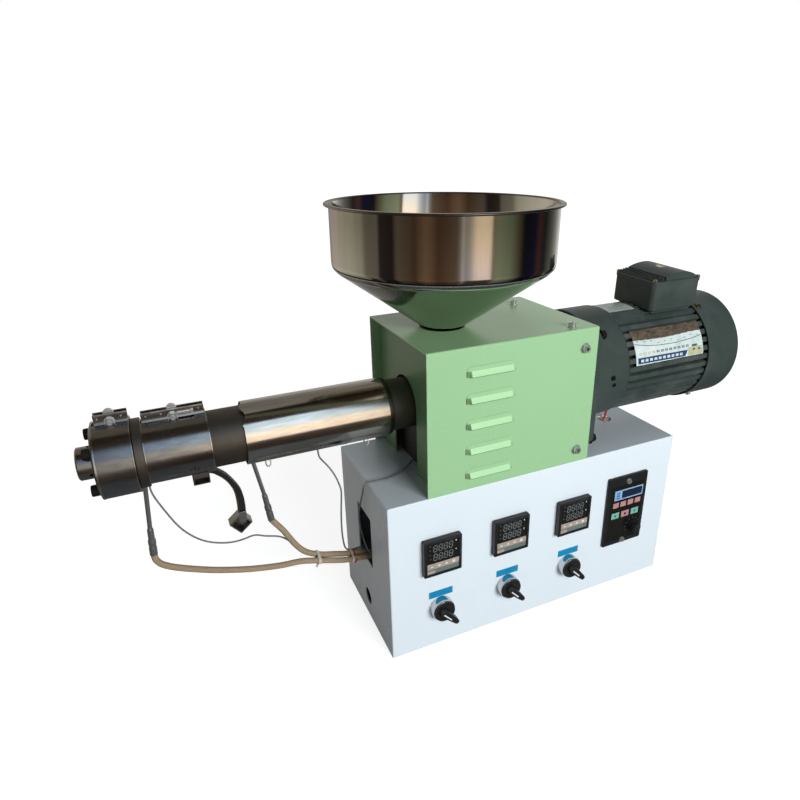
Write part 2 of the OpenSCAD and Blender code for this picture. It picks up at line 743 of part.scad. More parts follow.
// temperature controller of the second zone
module controller_2() color("black") controller(controller_x[1]);

// temperature controller of the third zone
module controller_3() color("black") controller(controller_x[2]);

// chrome bezels of the three switches, each on a threaded body through the panel
module selector_bezels() color("silver") {
    for (x = controller_x) difference() {
        union() {
            rod_y(-yr - bezel_out, bezel_out, bezel_r, x, switch_z);
            rod_y(-yr - 1, 13, 11.1, x, switch_z);
            rod_y(-yr + sheet_t, 3, 14, x, switch_z);
            translate([x - 15, -yr + 12, switch_z - 14]) cube([30, 38, 28]);
        }
        rod_y(-yr - bezel_out - 1, bezel_out + 13, stem_r + stem_gap, x, switch_z);
    }
}

// black knob of a switch: round cap, lever and stem
module selector_knob(x) {
    y = -yr - bezel_out - 0.3;
    translate([x, y, switch_z]) rotate([90, 0, 0]) cylinder(h = 1.7, r = bezel_r - 1.4);
    rod_y(y - 1, bezel_out + 11, stem_r, x, switch_z);
    translate([x, y, switch_z]) rotate([0, 47, 0]) slab_y(-lever_out, lever_out)
        polygon([[-8, -4], [lever_len - 4, -2.8], [lever_len, -1.5], [lever_len, 1.5],
            [lever_len - 4, 2.8], [-8, 4], [-9.4, 0]]);
}

// knob of the first zone's switch
module selector_knob_1() color("black") selector_knob(controller_x[0]);

// knob of the second zone's switch
module selector_knob_2() color("black") selector_knob(controller_x[1]);

// knob of the third zone's switch
module selector_knob_3() color("black") selector_knob(controller_x[2]);

// speed controller: black plate on the panel with its circuit box behind
module speed_panel() color("black") {
    difference() {
        union() {
            slab_y(-yr - speed_t, speed_t) round_rect(speed_x, speed_z, speed_w, speed_h, 2.2);
            translate([speed_x - speed_w / 2 + 3.5, -yr - 1, speed_z - speed_h / 2 + 16.25])
                cube([speed_w - 7, 46, speed_h - 20.5]);
        }
        rod_y(-yr - 5, 22, 3 + stem_gap, speed_knob_x, speed_knob_z);
    }
}

// knob that sets the speed
module speed_knob() color("black") {
    difference() {
        rod_y(-yr - speed_t - 10.5, 10, 7.7, speed_knob_x, speed_knob_z);
        translate([speed_knob_x - 0.5, -yr - speed_t - 11.5, speed_knob_z]) cube([1, 1.8, 9]);
    }
    rod_y(-yr - 5, 20, 3, speed_knob_x, speed_knob_z);
}

// mains inlet low on the back
module mains_inlet() color("black") {
    difference() {
        union() {
            translate([inlet_x - 17, yr, inlet_z - 13]) cube([34, 3, 26]);
            translate([inlet_x - 13.2, yr - 24, inlet_z - 9.2]) cube([26.4, 25, 18.4]);
        }
        translate([inlet_x - 11, yr - 14, inlet_z - 7]) cube([22, 20, 14]);
    }
    for (x = [-6, 0, 6]) translate([inlet_x + x - 1, yr - 15, inlet_z - 2]) cube([2, 12, 4]);
}

cabinet_tray();
cabinet_front_panel();
cabinet_left_end();
cabinet_deck();
hood_cover();
hood_end_plate();
mount_plate();
feed_housing();
gear_flange();
gear_case();
motor_body();
fan_cowl();
terminal_box();
terminal_box_lid();
hopper_wall();
hopper_cone();
barrel();
feed_screw();
heater_sheath();
die_head();
nozzle();
heater_band_front();
heater_band_rear();
hanging_clamp();
lead_probe_front();
lead_probe_rear();
sleeve_front();
sleeve_rear();
sensor_wire_front();
sensor_wire_rear();
sensor_wire_hood();
motor_lead_red();
motor_lead_black();
motor_terminal();
terminal_strip();
controller_1();
controller_2();
controller_3();
selector_bezels();
selector_knob_1();
selector_knob_2();
selector_knob_3();
speed_panel();
speed_knob();
mains_inlet();
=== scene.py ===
from math import atan2, cos, degrees, hypot, inf, pi, radians, sin
import bmesh
import bpy
from mathutils import Matrix, Vector


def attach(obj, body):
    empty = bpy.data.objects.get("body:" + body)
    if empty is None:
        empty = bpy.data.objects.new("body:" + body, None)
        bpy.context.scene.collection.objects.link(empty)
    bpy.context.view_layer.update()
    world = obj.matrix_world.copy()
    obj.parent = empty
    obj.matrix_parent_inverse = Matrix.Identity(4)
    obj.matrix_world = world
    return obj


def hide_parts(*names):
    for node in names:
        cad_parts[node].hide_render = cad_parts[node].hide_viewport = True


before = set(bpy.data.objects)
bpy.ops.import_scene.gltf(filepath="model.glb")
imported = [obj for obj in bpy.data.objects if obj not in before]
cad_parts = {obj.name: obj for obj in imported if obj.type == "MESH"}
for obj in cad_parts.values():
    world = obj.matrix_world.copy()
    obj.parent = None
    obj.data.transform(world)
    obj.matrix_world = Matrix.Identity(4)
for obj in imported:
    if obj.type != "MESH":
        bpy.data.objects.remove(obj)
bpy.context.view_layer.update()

# ---- the view ----
# The machine is looked at from its front left, a little above the hopper's rim,
# with the nozzle nearest and the motor furthest away.
def shown(name, data):
    """An object of the scene that holds this mesh, lamp or camera."""
    thing = bpy.data.objects.new(name, data)
    bpy.context.scene.collection.objects.link(thing)
    return thing


turn, tilt, roll = radians(-23.42), radians(22.02), radians(-1.20)
back = Vector((sin(turn) * cos(tilt), -cos(turn) * cos(tilt), sin(tilt)))
side = Vector((cos(turn), sin(turn), 0))
over = back.cross(side)
eye_right = side * cos(roll) + over * sin(roll)
eye_up = over * cos(roll) - side * sin(roll)
view = bpy.data.cameras.new("view")
view.lens, view.sensor_width = 27.18, 36
view.shift_x, view.shift_y = -0.0172, -0.0144
view.clip_start, view.clip_end = 0.01, 50
eye = shown("view", view)
eye.matrix_world = Matrix.Translation((-0.3920, -0.5988, 0.5697)) @ Matrix(
    (eye_right, eye_up, back)).transposed().to_4x4()
bpy.context.scene.camera = eye
bpy.context.scene.view_settings.view_transform = "Standard"

# ---- the lamps ----
# One broad window-like lamp stands in front and a little to the right; two weak ones
# overhead and at the left open the shadows.
for name, place, aim, size, watts, tint in (
        ("window", (0.5, -2.6, 1.2), (0, 0, 0.28), (1.5, 1.0), 80, (0.96, 0.985, 1.0)),
        ("overhead", (0.2, 0.3, 2.6), (0, 0, 0.2), (1.6, 1.6), 9, (1.0, 0.99, 0.97)),
        ("left_side", (-2.6, -0.3, 1.0), (0, 0, 0.25), (1.0, 1.4), 3, (1.0, 0.98, 0.95))):
    light = bpy.data.lights.new(name, "AREA")
    light.shape, light.size, light.size_y = "RECTANGLE", *size
    light.energy, light.color = watts, tint
    lit = shown(name, light)
    lit.location = place
    lit.visible_glossy = False
    lit.rotation_euler = (Vector(aim) - Vector(place)).to_track_quat("-Z", "Y").to_euler()

# ---- the hall that the metal mirrors ----
# Plain fill light for everything dull, white for the eye, and for polished metal a hall:
# walls all round in browns and greys, one tall window low on the right, a dim ground.
def node(tree, kind, values=(), **settings):
    """A node with its settings, its sockets linked or given plain values."""
    made = tree.nodes.new(kind)
    for key, value in settings.items():
        setattr(made, key, value)
    for socket, value in dict(values).items():
        if isinstance(value, bpy.types.NodeSocket):
            tree.links.new(value, made.inputs[socket])
        else:
            made.inputs[socket].default_value = value
    return made


def maths(tree, operation, *values):
    """One or two values put through an operation."""
    return node(tree, "ShaderNodeMath", enumerate(values), operation=operation).outputs[0]


def blended(tree, share, first, second, kind="MIX"):
    """Two colours laid over each other by a share."""
    return node(tree, "ShaderNodeMix", {0: share, 6: first, 7: second},
                data_type="RGBA", blend_type=kind).outputs[2]


def ranged(tree, value, low, high, to_low, to_high):
    """A value carried from one range to another and held inside it."""
    return node(tree, "ShaderNodeMapRange", {0: value, 1: low, 2: high, 3: to_low,
                                             4: to_high}).outputs[0]


def ramp(tree, value, first, last, stops):
    """A ramp of plain colours over a value from 0 to 1."""
    bar = node(tree, "ShaderNodeValToRGB", {0: value})
    for stop, tone in zip(bar.color_ramp.elements, (first, last)):
        stop.color = (*tone, 1)
    for at, tone in stops:
        bar.color_ramp.elements.new(at).color = (*tone, 1)
    return bar.outputs[0]


hall = bpy.data.worlds.new("room")
bpy.context.scene.world = hall
hall.use_nodes = True
tree = hall.node_tree
tree.nodes.clear()
way = node(tree, "ShaderNodeSeparateXYZ",
           {0: node(tree, "ShaderNodeTexCoord").outputs["Generated"]}).outputs
bearing = ranged(tree, maths(tree, "ARCTAN2", way["X"], maths(
    tree, "MULTIPLY", way["Y"], -1.0)), -pi, pi, 0.0, 1.0)
level = ranged(tree, way["Z"], -1.0, 1.0, 0.0, 1.0)
black, wall_end = (0, 0, 0), (0.31, 0.29, 0.26)
walls = ramp(tree, bearing, wall_end, wall_end, [((angle + 180) / 360, tone)
    for angle, tone in ((-170, (0.53, 0.47, 0.40)), (-157, (0.62, 0.55, 0.48)),
    (-132, (0.54, 0.52, 0.42)), (-113, (0.42, 0.40, 0.31)), (-107, (0.20, 0.18, 0.14)),
    (-93, (0.16, 0.14, 0.12)), (-90, (0.03, 0.025, 0.02)), (-76, (0.02, 0.015, 0.015)),
    (-71, (0.12, 0.09, 0.07)), (-58, (0.09, 0.06, 0.035)), (-54, (0.07, 0.04, 0.025)),
    (-44, (0.19, 0.12, 0.07)), (-38, (0.17, 0.10, 0.06)), (-31, (0.09, 0.05, 0.03)),
    (-16, (0.15, 0.10, 0.065)), (-10, (0.13, 0.09, 0.06)), (-8, (0.6, 0.56, 0.5)),
    (-6, (0.12, 0.08, 0.06)), (21, (0.1, 0.08, 0.06)), (25, (0.34, 0.36, 0.24)),
    (40, (0.22, 0.28, 0.18)), (48, (0.14, 0.12, 0.07)), (56, (0.01, 0.01, 0.015)),
    (72, (0.01, 0.012, 0.03)), (78, (0.07, 0.03, 0.03)), (88, (0.02, 0.02, 0.02)),
    (103, (0.14, 0.14, 0.13)), (114, (0.34, 0.34, 0.32)), (128, (0.8, 0.8, 0.78)),
    (150, (0.7, 0.68, 0.64)))])
height = ramp(tree, level, black, (0.3, 0.28, 0.26), [((rise + 1) / 2, (tone,) * 3)
    for rise, tone in ((-0.75, 0.0), (-0.66, 0.35), (-0.46, 0.5), (-0.3, 0.9), (0.1, 1.0),
    (0.3, 0.85), (0.5, 0.5), (0.8, 0.35))])
panes = ramp(tree, level, black, black, [((rise + 1) / 2, tone) for rise, tone in (
    (-0.27, black), (-0.22, (1.25, 1.05, 1.05)), (-0.15, (1.45, 1.2, 0.8)),
    (-0.09, (1.4, 1.15, 0.9)), (0.2, (1.45, 1.32, 1.1)), (0.34, (1.15, 1.2, 1.25)),
    (0.5, (1.05, 1.35, 1.6)), (0.76, (0.9, 1.15, 1.4)), (0.8, black))])
dim_ground = (0.085, 0.09, 0.096)
ground = ramp(tree, level, dim_ground, black, [(0.11, dim_ground), (0.16, black)])
opening = ramp(tree, bearing, black, black, [((angle + 180) / 360, tone) for angle, tone in (
    (-14, black), (-9, (0.16, 0.2, 0.26)), (-4, (0.24, 0.3, 0.38)), (0, (0.42, 0.5, 0.58)),
    (5, (1, 1, 1)), (19.5, (1, 1, 1)), (21, black))])
mirrored = blended(tree, 1.0, blended(tree, 1.0, walls, height, "MULTIPLY"),
                   blended(tree, 1.0, panes, opening, "MULTIPLY"), "ADD")
mirrored = blended(tree, 1.0, mirrored, ground, "ADD")
fill, mirrors, white = [node(tree, "ShaderNodeBackground", given).outputs[0] for given in (
    {"Color": (0.93, 0.96, 1.0, 1), "Strength": 0.16}, {"Color": mirrored},
    {"Color": (1, 1, 1, 1)})]
rays = node(tree, "ShaderNodeLightPath").outputs
inside = node(tree, "ShaderNodeMixShader", {0: rays["Is Glossy Ray"], 1: fill, 2: mirrors})
inside = node(tree, "ShaderNodeMixShader", {0: rays["Is Camera Ray"], 1: inside.outputs[0],
                                            2: white})
node(tree, "ShaderNodeOutputWorld", {"Surface": inside.outputs[0]})

# ---- the floor ----
# A plain pale floor that glows a little for the eye alone, more with distance, so that
# it runs up into the white and keeps only the machine's own shadow.
floor_mesh = bpy.data.meshes.new("floor")
floor_mesh.from_pydata([(x, y, -0.0005) for x, y in ((-9, -9), (9, -9), (9, 9), (-9, 9))],
                       [], [(0, 1, 2, 3)])
floor = shown("floor", floor_mesh)
pale = bpy.data.materials.new("pale_floor")
pale.use_nodes = True
tree = pale.node_tree
paint = tree.nodes["Principled BSDF"]
for label, value in (("Base Color", (0.45, 0.45, 0.45, 1)), ("Roughness", 0.9),
                     ("Specular IOR Level", 0.1)):
    paint.inputs[label].default_value = value
far = node(tree, "ShaderNodeVectorMath", {
    0: node(tree, "ShaderNodeTexCoord").outputs["Object"]}, operation="LENGTH")
glow = node(tree, "ShaderNodeEmission", {"Strength": ranged(
    tree, far.outputs["Value"], 0.45, 1.6, 0.8, 1.0)})
rays = node(tree, "ShaderNodeLightPath").outputs
seen = node(tree, "ShaderNodeMixShader", {
    0: maths(tree, "MAXIMUM", rays["Is Camera Ray"], rays["Is Glossy Ray"]),
    1: node(tree, "ShaderNodeEmission", {"Strength": 0.0}).outputs[0], 2: glow.outputs[0]})
both = node(tree, "ShaderNodeAddShader", {0: paint.outputs[0], 1: seen.outputs[0]})
tree.links.new(both.outputs[0], tree.nodes["Material Output"].inputs["Surface"])
floor_mesh.materials.append(pale)
floor.visible_glossy = False

# ---- the two cable sleeves ----
# Tan woven glass sleeves over the heater cables. Each is pushed onto the steel tail of
# a probe, sags freely under the barrel and goes in through the cabinet's side opening.
def speckle(tree, where, scale, detail):
    """A cloudy noise over a surface."""
    return node(tree, "ShaderNodeTexNoise", {"Vector": where, "Scale": scale, "Detail": detail,
                                             "Roughness": 0.6}).outputs["Fac"]


def embossed(tree, shader, height, strength, distance):
    """A relief that the light alone sees."""
    bump = node(tree, "ShaderNodeBump", {"Height": height, "Strength": strength,
                                         "Distance": distance})
    tree.links.new(bump.outputs[0], shader.inputs["Normal"])


def surface(name, tone, other, rough=(0.35, 0.5), metal=0.0, patch=9, grain=900,
            relief=0.12, stretch=(1, 1, 1), coat=0.0, edge=None, hollow_tone=None, shine=0.5,
            uv=False):
    """A node material: broad patches between two tones, a fine grain in the colour, the
    sheen and the relief, edges rubbed to a third tone and the hollows darkened toward a fourth."""
    skin = bpy.data.materials.new(name)
    skin.use_nodes = True
    tree = skin.node_tree
    shader = tree.nodes["Principled BSDF"]
    for label, value in (("Metallic", metal), ("Coat Weight", coat), ("Coat Roughness", 0.18),
                         ("Specular IOR Level", shine)):
        shader.inputs[label].default_value = value
    place = node(tree, "ShaderNodeTexCoord").outputs["UV" if uv else "Object"]
    where = node(tree, "ShaderNodeMapping", {"Vector": place, "Scale": stretch}).outputs[0]
    broad = speckle(tree, where, patch, 3.0)
    fine = speckle(tree, where, grain, 5.0)
    mixed = blended(tree, ranged(tree, broad, 0.3, 0.7, 0.0, 1.0), (*tone, 1), (*other, 1))
    colour = blended(tree, ranged(tree, fine, 0.25, 0.75, 0.0, 0.1), mixed,
                     (*[c * 0.6 for c in tone], 1))
    bare = node(tree, "ShaderNodeNewGeometry").outputs["Pointiness"]
    # Where the surface curves inward, the colour is drawn toward a darker tone, more in some
    # patches.
    if hollow_tone:
        low = maths(tree, "MULTIPLY", ranged(tree, bare, 0.5, 0.44, 0.0, 0.7),
                    ranged(tree, broad, 0.35, 0.6, 0.3, 1.0))
        colour = blended(tree, low, colour, (*hollow_tone, 1))
    if edge:
        worn = maths(tree, "MULTIPLY", ranged(tree, bare, 0.53, 0.6, 0.0, 0.8),
                     ranged(tree, speckle(tree, where, patch * 9, 4.0), 0.4, 0.62, 0.0, 1.0))
        colour = blended(tree, worn, colour, (*edge, 1))
    tree.links.new(colour, shader.inputs["Base Color"])
    sheen = maths(tree, "ADD", ranged(tree, fine, 0.2, 0.8, rough[0], rough[1]),
                  ranged(tree, broad, 0.3, 0.7, -0.03, 0.05))
    tree.links.new(sheen, shader.inputs["Roughness"])
    embossed(tree, shader, fine, relief, 0.0003)
    return skin


def outward_mesh(name, made):
    """The built piece as a mesh, its faces turned outward."""
    bmesh.ops.recalc_face_normals(made, faces=made.faces)
    mesh = bpy.data.meshes.new(name)
    made.to_mesh(mesh)
    made.free()
    return mesh


def settled(thing):
    """The plain mesh that an object's modifiers make."""
    bpy.context.view_layer.update()
    return bpy.data.meshes.new_from_object(
        thing.evaluated_get(bpy.context.evaluated_depsgraph_get()))


def part(name, made, finishes, stands_for=(), body="frame", angle=35, even=True):
    """A finished object: faces outward, smooth up to an angle, riding on its body."""
    mesh = outward_mesh(name, made)
    thing = shown(name, mesh)
    for skin in finishes if isinstance(finishes, list) else [finishes]:
        mesh.materials.append(skin)
    mesh.shade_smooth()
    mesh.set_sharp_from_angle(angle=radians(angle))
    if even:
        weigh = thing.modifiers.new("even", "WEIGHTED_NORMAL")
        weigh.keep_sharp = True
        thing.data = settled(thing)
        thing.modifiers.remove(weigh)
        bpy.data.meshes.remove(mesh)
        thing.data.name = name
    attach(thing, body)
    if stands_for:
        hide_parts(*stands_for)
    return thing


def flowing(points, steps):
    """A smooth line through all the points, each span cut into steps."""
    given = [Vector(p) / 1000 for p in points]
    given = [given[0] * 2 - given[1]] + given + [given[-1] * 2 - given[-2]]
    line = []
    for a, b, c, d in zip(given, given[1:], given[2:], given[3:]):
        for k in range(steps):
            t = k / steps
            line.append(0.5 * (2 * b + (c - a) * t + (2 * a - 5 * b + 4 * c - d) * t * t
                               + (3 * b - a - 3 * c + d) * t ** 3))
    return line + [given[-2]]


def tube(line, radius, sides, mesh=None, tint=0):
    """A closed round tube along a line, its UV running round and along it."""
    made = mesh or bmesh.new()
    layer = made.loops.layers.uv.verify()
    across = (line[1] - line[0]).orthogonal().normalized()
    rings, far, reach = [], 0.0, []
    for i, at in enumerate(line):
        ahead = (line[min(i + 1, len(line) - 1)] - line[max(i - 1, 0)]).normalized()
        across = (across - ahead * across.dot(ahead)).normalized()
        up = ahead.cross(across)
        far += (at - line[i - 1]).length if i else 0
        reach.append(far / (2 * pi * radius))
        rings.append([made.verts.new(at + radius * (cos(2 * pi * k / sides) * across
                                                    + sin(2 * pi * k / sides) * up))
                      for k in range(sides)])
    for i, (near, further) in enumerate(zip(rings, rings[1:])):
        for k in range(sides):
            face = made.faces.new((near[k], near[(k + 1) % sides],
                                   further[(k + 1) % sides], further[k]))
            face.material_index = tint
            for loop, u, v in zip(face.loops, (k, k + 1, k + 1, k), (0, 0, 1, 1)):
                loop[layer].uv = (u / sides, reach[i + v])
    for end in (rings[0][::-1], rings[-1]):
        made.faces.new(end).material_index = tint
    return made


def braid(name, tone, dark, strands):
    """Two sets of strands wound against each other, the hollows between them painted darker as
    shade.
    """
    skin = surface(name, tone, [c * 0.86 for c in tone], rough=(0.7, 0.9), grain=40,
                   patch=1.5, uv=True, shine=0.25)
    tree = skin.node_tree
    shader = tree.nodes["Principled BSDF"]
    flat = shader.inputs["Base Color"].links[0].from_socket
    spot = node(tree, "ShaderNodeSeparateXYZ",
                {0: node(tree, "ShaderNodeTexCoord").outputs["UV"]})
    waves = [maths(tree, "SINE", maths(tree, "MULTIPLY", maths(
        tree, way, spot.outputs[0], spot.outputs[1]), 2 * pi * strands))
        for way in ("ADD", "SUBTRACT")]
    over = maths(tree, "MULTIPLY", *waves)
    crossed = ranged(tree, over, -0.5, 0.6, 0.0, 1.0)
    tree.links.new(blended(tree, crossed, (*dark, 1), flat), shader.inputs["Base Color"])
    embossed(tree, shader, crossed, 0.7, 0.0004)
    return skin


tan_braid = braid("tan_braid", (0.52, 0.40, 0.27), (0.24, 0.165, 0.095), 7)
sleeve_front = flowing(
    [(-437.9, 4.5, 168), (-437, 3.5, 161.5), (-431.5, 0.5, 155.5), (-418, -3.5, 149.7),
     (-396, -6, 141.5), (-375.5, -8, 135), (-344, -9, 126.3), (-310, -8, 119),
     (-286, -6, 115.5), (-266, -5, 109.5), (-248, -4.5, 103.3), (-229, -4, 97.5),
     (-204, -4, 94.3), (-190, -3, 88.5), (-179, -1, 74), (-176, 0, 50)], 3)
sleeve_rear = flowing(
    [(-311.5, 4.5, 175), (-306.2, 3, 167.3), (-299.6, 2, 157.5), (-293.7, 1, 146),
     (-287.6, 0.5, 135), (-280.2, 1, 124.7), (-271.9, 3, 116.8), (-263, 4, 111.5),
     (-253.6, 4, 108), (-240, 4, 104.3), (-228.6, 4, 101), (-203, 4.5, 95.5),
     (-188, 6, 88), (-178, 8.5, 73), (-175, 9, 50)], 3)
for which, line in (("front", sleeve_front), ("rear", sleeve_rear)):
    cover = part(f"cable_sleeve_{which}", tube(line, 0.0035, 20), tan_braid,
                 stands_for=[f"sleeve_{which}"])

# ---- the cable ties ----
# White nylon ties draw the two sleeves together before they reach the cabinet; one
# has its tail left hanging, the other carries a scrap of red tape.
nylon = surface("white_nylon", (0.56, 0.55, 0.49), (0.46, 0.45, 0.4), rough=(0.35, 0.5),
    grain=1500, relief=0.05)
red_tape = surface("red_tape", (0.55, 0.06, 0.04), (0.42, 0.04, 0.03), rough=(0.4, 0.6),
    grain=700)


def skinned(made, rows, tint=0, ring=True, closed=False, capped=False):
    """Faces from each row of corners to the next: round each row if it is a ring, from the
    last row back to the first if closed, and over the two end rows if capped."""
    count = len(rows[0])
    for a, b in zip(rows, rows[1:] + rows[:1] * closed):
        for k in range(count if ring else count - 1):
            face = made.faces.new((a[k], a[(k + 1) % count], b[(k + 1) % count], b[k]))
            face.material_index = tint
    for end in (rows[0][::-1], rows[-1]) if capped else ():
        made.faces.new(end).material_index = tint


def loop_round(centres, radius, width, mesh, tint=0):
    """A flat band drawn round two cords that lie side by side."""
    first, second = centres
    apart = (second - first).normalized()
    along = Vector((1, 0, -0.36)).normalized()
    up = along.cross(apart).normalized()
    outline = [first + radius * (cos(a) * apart + sin(a) * up)
               for a in [radians(90 + 18 * k) for k in range(11)]]
    outline += [second + radius * (cos(a) * apart + sin(a) * up)
                for a in [radians(-90 + 18 * k) for k in range(11)]]
    middle = (first + second) / 2
    rows = []
    for grow, shift in ((0, -0.5), (0.0009, -0.5), (0.0009, 0.5), (0, 0.5)):
        rows.append([mesh.verts.new(p + (p - middle).normalized() * grow
                                    + along * width * shift) for p in outline])
    skinned(mesh, rows, tint, closed=True)


def nearest(line, x):
    """Where a line crosses a plane of constant x."""
    for a, b in zip(line, line[1:]):
        if (a.x - x) * (b.x - x) <= 0:
            return a.lerp(b, (x - a.x) / (b.x - a.x))


tie = bmesh.new()
for x, width, taped in ((-0.2635, 0.0036, False), (-0.222, 0.0028, True)):
    pair = [nearest(sleeve_front, x), nearest(sleeve_rear, x)]
    middle = (pair[0] + pair[1]) / 2
    loop_round(pair, 0.0036, width, tie)
    if taped:
        loop_round([p + Vector((0.0036, 0, -0.0014)) for p in pair], 0.0037, 0.0016, tie, 1)
    lock = Matrix.Translation(middle + Vector((0, -0.001, -0.0052)))
    bmesh.ops.create_cube(tie, size=1,
        matrix=lock @ Matrix.Diagonal((0.0052, 0.0052, 0.0036, 1)))
    if not taped:
        tube([middle + Vector((-0.0012 * k, -0.002 - 0.0006 * k, -0.006 - 0.0016 * k))
              for k in range(4)], 0.0013, 6, tie)
ties = part("cable_ties", tie, [nylon, red_tape])

# ---- the sensor wires and the motor leads ----
# Thin grey sensor wires leave the die, the rear of the barrel and the hood, and a red
# and a black motor lead drop through the deck; all of them hang free.
grey_wire = braid("grey_wire", (0.36, 0.37, 0.38), (0.14, 0.145, 0.15), 6)
red_lead = surface("red_lead", (0.6, 0.05, 0.03), (0.5, 0.035, 0.025), rough=(0.3, 0.42),
    grain=1200, relief=0.05)
black_lead = surface("black_lead", (0.02, 0.02, 0.022), (0.03, 0.03, 0.032), rough=(0.3, 0.42),
    grain=1200, relief=0.05)
free_wires = (
    ("sensor_wire_front", 0.002, 3, grey_wire, "grey_wire",
     [(-428.4, 4.5, 255), (-427.8, 4.5, 243), (-423.7, 4.5, 229.4), (-411.6, 4.5, 200.5),
      (-401.4, 4.5, 184), (-388, 4.5, 170.5), (-373.5, 4.5, 162.5), (-358, 5, 158),
      (-345, 6, 157.3), (-332, 7, 158.3), (-319.7, 7, 153.3), (-304, 8, 147),
      (-293, 9, 136.5), (-282.4, 9.5, 121), (-265, 11, 107), (-240, 11, 100),
      (-224, 11, 97), (-203, 11, 95.5), (-186, 13, 87), (-180, 14.5, 72),
      (-178, 14.5, 50)]),
    ("sensor_wire_rear", 0.002, 3, grey_wire, "grey_wire",
     [(-251.2, 4.5, 256), (-250.7, 4.5, 247), (-249, 4.5, 239.5), (-240.7, 4.5, 227.2),
      (-234.3, 4.5, 215), (-230.3, 4.5, 204), (-227.3, 4.5, 192), (-227.5, 5, 180),
      (-229, 6, 156), (-229, 8, 133), (-227.5, 11, 116), (-224.3, 14, 101), (-216, 16, 95),
      (-203, 16.5, 95), (-190, 17.5, 90), (-181, 19.5, 72), (-178, 20, 50)]),
    ("sensor_wire_hood", 0.002, 3, grey_wire, "grey_wire",
     [(-132.5, 2, 214), (-154.5, -13.5, 210), (-174.5, -22.5, 209.4), (-191.5, -24, 209.8),
      (-203.2, -21.5, 209.4), (-206.5, -18, 203), (-206.5, -13, 191), (-206.5, 0.5, 166),
      (-206, 8.5, 143), (-205.5, -0.5, 123), (-204, -14, 111), (-196, -18, 101),
      (-180, -19, 76), (-177, -20, 50)]),
    ("motor_lead_red", 0.0026, 6, red_lead, "red_wire",
     [(157, -4, 230.5), (156, -4, 218), (153, -3, 206), (153, -3, 184)]),
    ("motor_lead_black", 0.0026, 6, black_lead, "black_plastic",
     [(164, 3, 230.5), (163, 3, 218), (160, 3, 206), (160, 3, 184)]))
for wire, thick, steps, skin, slot, route in free_wires:
    line = flowing(route, steps)
    hung = part(f"{wire}_cord", tube(line, thick / 2, 12), skin,
                stands_for=[wire], even=False)

# ---- the cabinet ----
# One folded box of 1.5 mm steel sheet, powder coated a cool white, with the control
# face in front, a cable port and a round vent in the left end and a wire hole on top.
def mm(*values):
    """A place or a step given in millimetres."""
    return Vector(values) / 1000


def softened(made, edges, soft, segments=2, clamp=True):
    """These edges of the piece, rounded."""
    bmesh.ops.bevel(made, geom=edges, offset=soft / 1000, segments=segments, profile=0.5,
                    affect="EDGES", clamp_overlap=clamp)


def block(low, high, soft=0.0, segments=3, along=None, above=-inf, mesh=None, tint=0):
    """A box from corner to corner in millimetres, its edges rounded, or only those that
    run along an axis or lie above a level."""
    made = bmesh.new()
    low, high = mm(*low), mm(*high)
    bmesh.ops.create_cube(made, size=1, matrix=Matrix.Translation((low + high) / 2)
                          @ Matrix.Diagonal((*(high - low), 1)))
    chosen = []
    for edge in made.edges if soft else ():
        start, stop = [v.co for v in edge.verts]
        if (start.z + stop.z) * 500 > above and (
                not along or abs((start - stop).normalized()["XYZ".index(along)]) > 0.9):
            chosen.append(edge)
    if chosen:
        softened(made, chosen, soft, segments)
    return joined(mesh, made, tint)


def joined(whole, piece, tint=0):
    """The piece added to the whole, if there is one, in that material's place."""
    for face in piece.faces:
        face.material_index = tint
    if whole is None:
        return piece
    held = bpy.data.meshes.new("held")
    piece.to_mesh(held)
    piece.free()
    whole.from_mesh(held)
    bpy.data.meshes.remove(held)
    return whole


def eased(profile, soft, steps=3, closed=True):
    """An outline whose corners are drawn in to small arcs."""
    made = []
    for i, point in enumerate(profile):
        here, last = Vector(point), Vector(profile[i - 1])
        following = Vector(profile[(i + 1) % len(profile)])
        if not closed and i in (0, len(profile) - 1):
            made.append(here)
            continue
        reach = min(soft, (last - here).length * 0.45, (following - here).length * 0.45)
        start = here + (last - here).normalized() * reach
        stop = here + (following - here).normalized() * reach
        made += [start.lerp(here, k / steps).lerp(here.lerp(stop, k / steps), k / steps)
                 for k in range(steps + 1)]
    return made


def frame_of(axis):
    """Two directions square to an axis, the first as near to -Y as can be."""
    axis = Vector(axis).normalized()
    first = Vector((0, -1, 0)) if abs(axis.y) < 0.9 else Vector((1, 0, 0))
    first = (first - axis * first.dot(axis)).normalized()
    return axis, first, axis.cross(first)


def lathe(profile, origin, axis, steps=96, soft=0.0, mesh=None, tint=0, wobble=None):
    """An outline of (along, radius) in millimetres turned round an axis; one that starts
    on the axis stays open there."""
    made = bmesh.new()
    axis, first, second = frame_of(axis)
    closed = profile[0][1] > 0
    outline = eased(profile, soft, closed=closed) if soft else [Vector(p) for p in profile]
    rings = []
    for k in range(steps):
        a = 2 * pi * k / steps
        outward = cos(a) * first + sin(a) * second
        rings.append([made.verts.new(mm(*origin) + axis * (wobble(p, a) if wobble else p[0])
                                     / 1000 + outward * p[1] / 1000) for p in outline])
    skinned(made, rings, ring=closed, closed=True)
    bmesh.ops.remove_doubles(made, verts=made.verts, dist=2e-7)
    return joined(mesh, made, tint)


def carved(body, *cutters):
    """The body with each cutter taken out of it."""
    stock = [shown("stock", outward_mesh("stock", piece)) for piece in (body, *cutters)]
    for cutter in stock[1:]:
        taken = stock[0].modifiers.new("taken", "BOOLEAN")
        taken.operation, taken.solver, taken.object = "DIFFERENCE", "EXACT", cutter
    mesh = settled(stock[0])
    made = bmesh.new()
    made.from_mesh(mesh)
    bmesh.ops.remove_doubles(made, verts=made.verts, dist=2e-6)
    for piece in stock:
        bpy.data.meshes.remove(piece.data)
    bpy.data.meshes.remove(mesh)
    return made


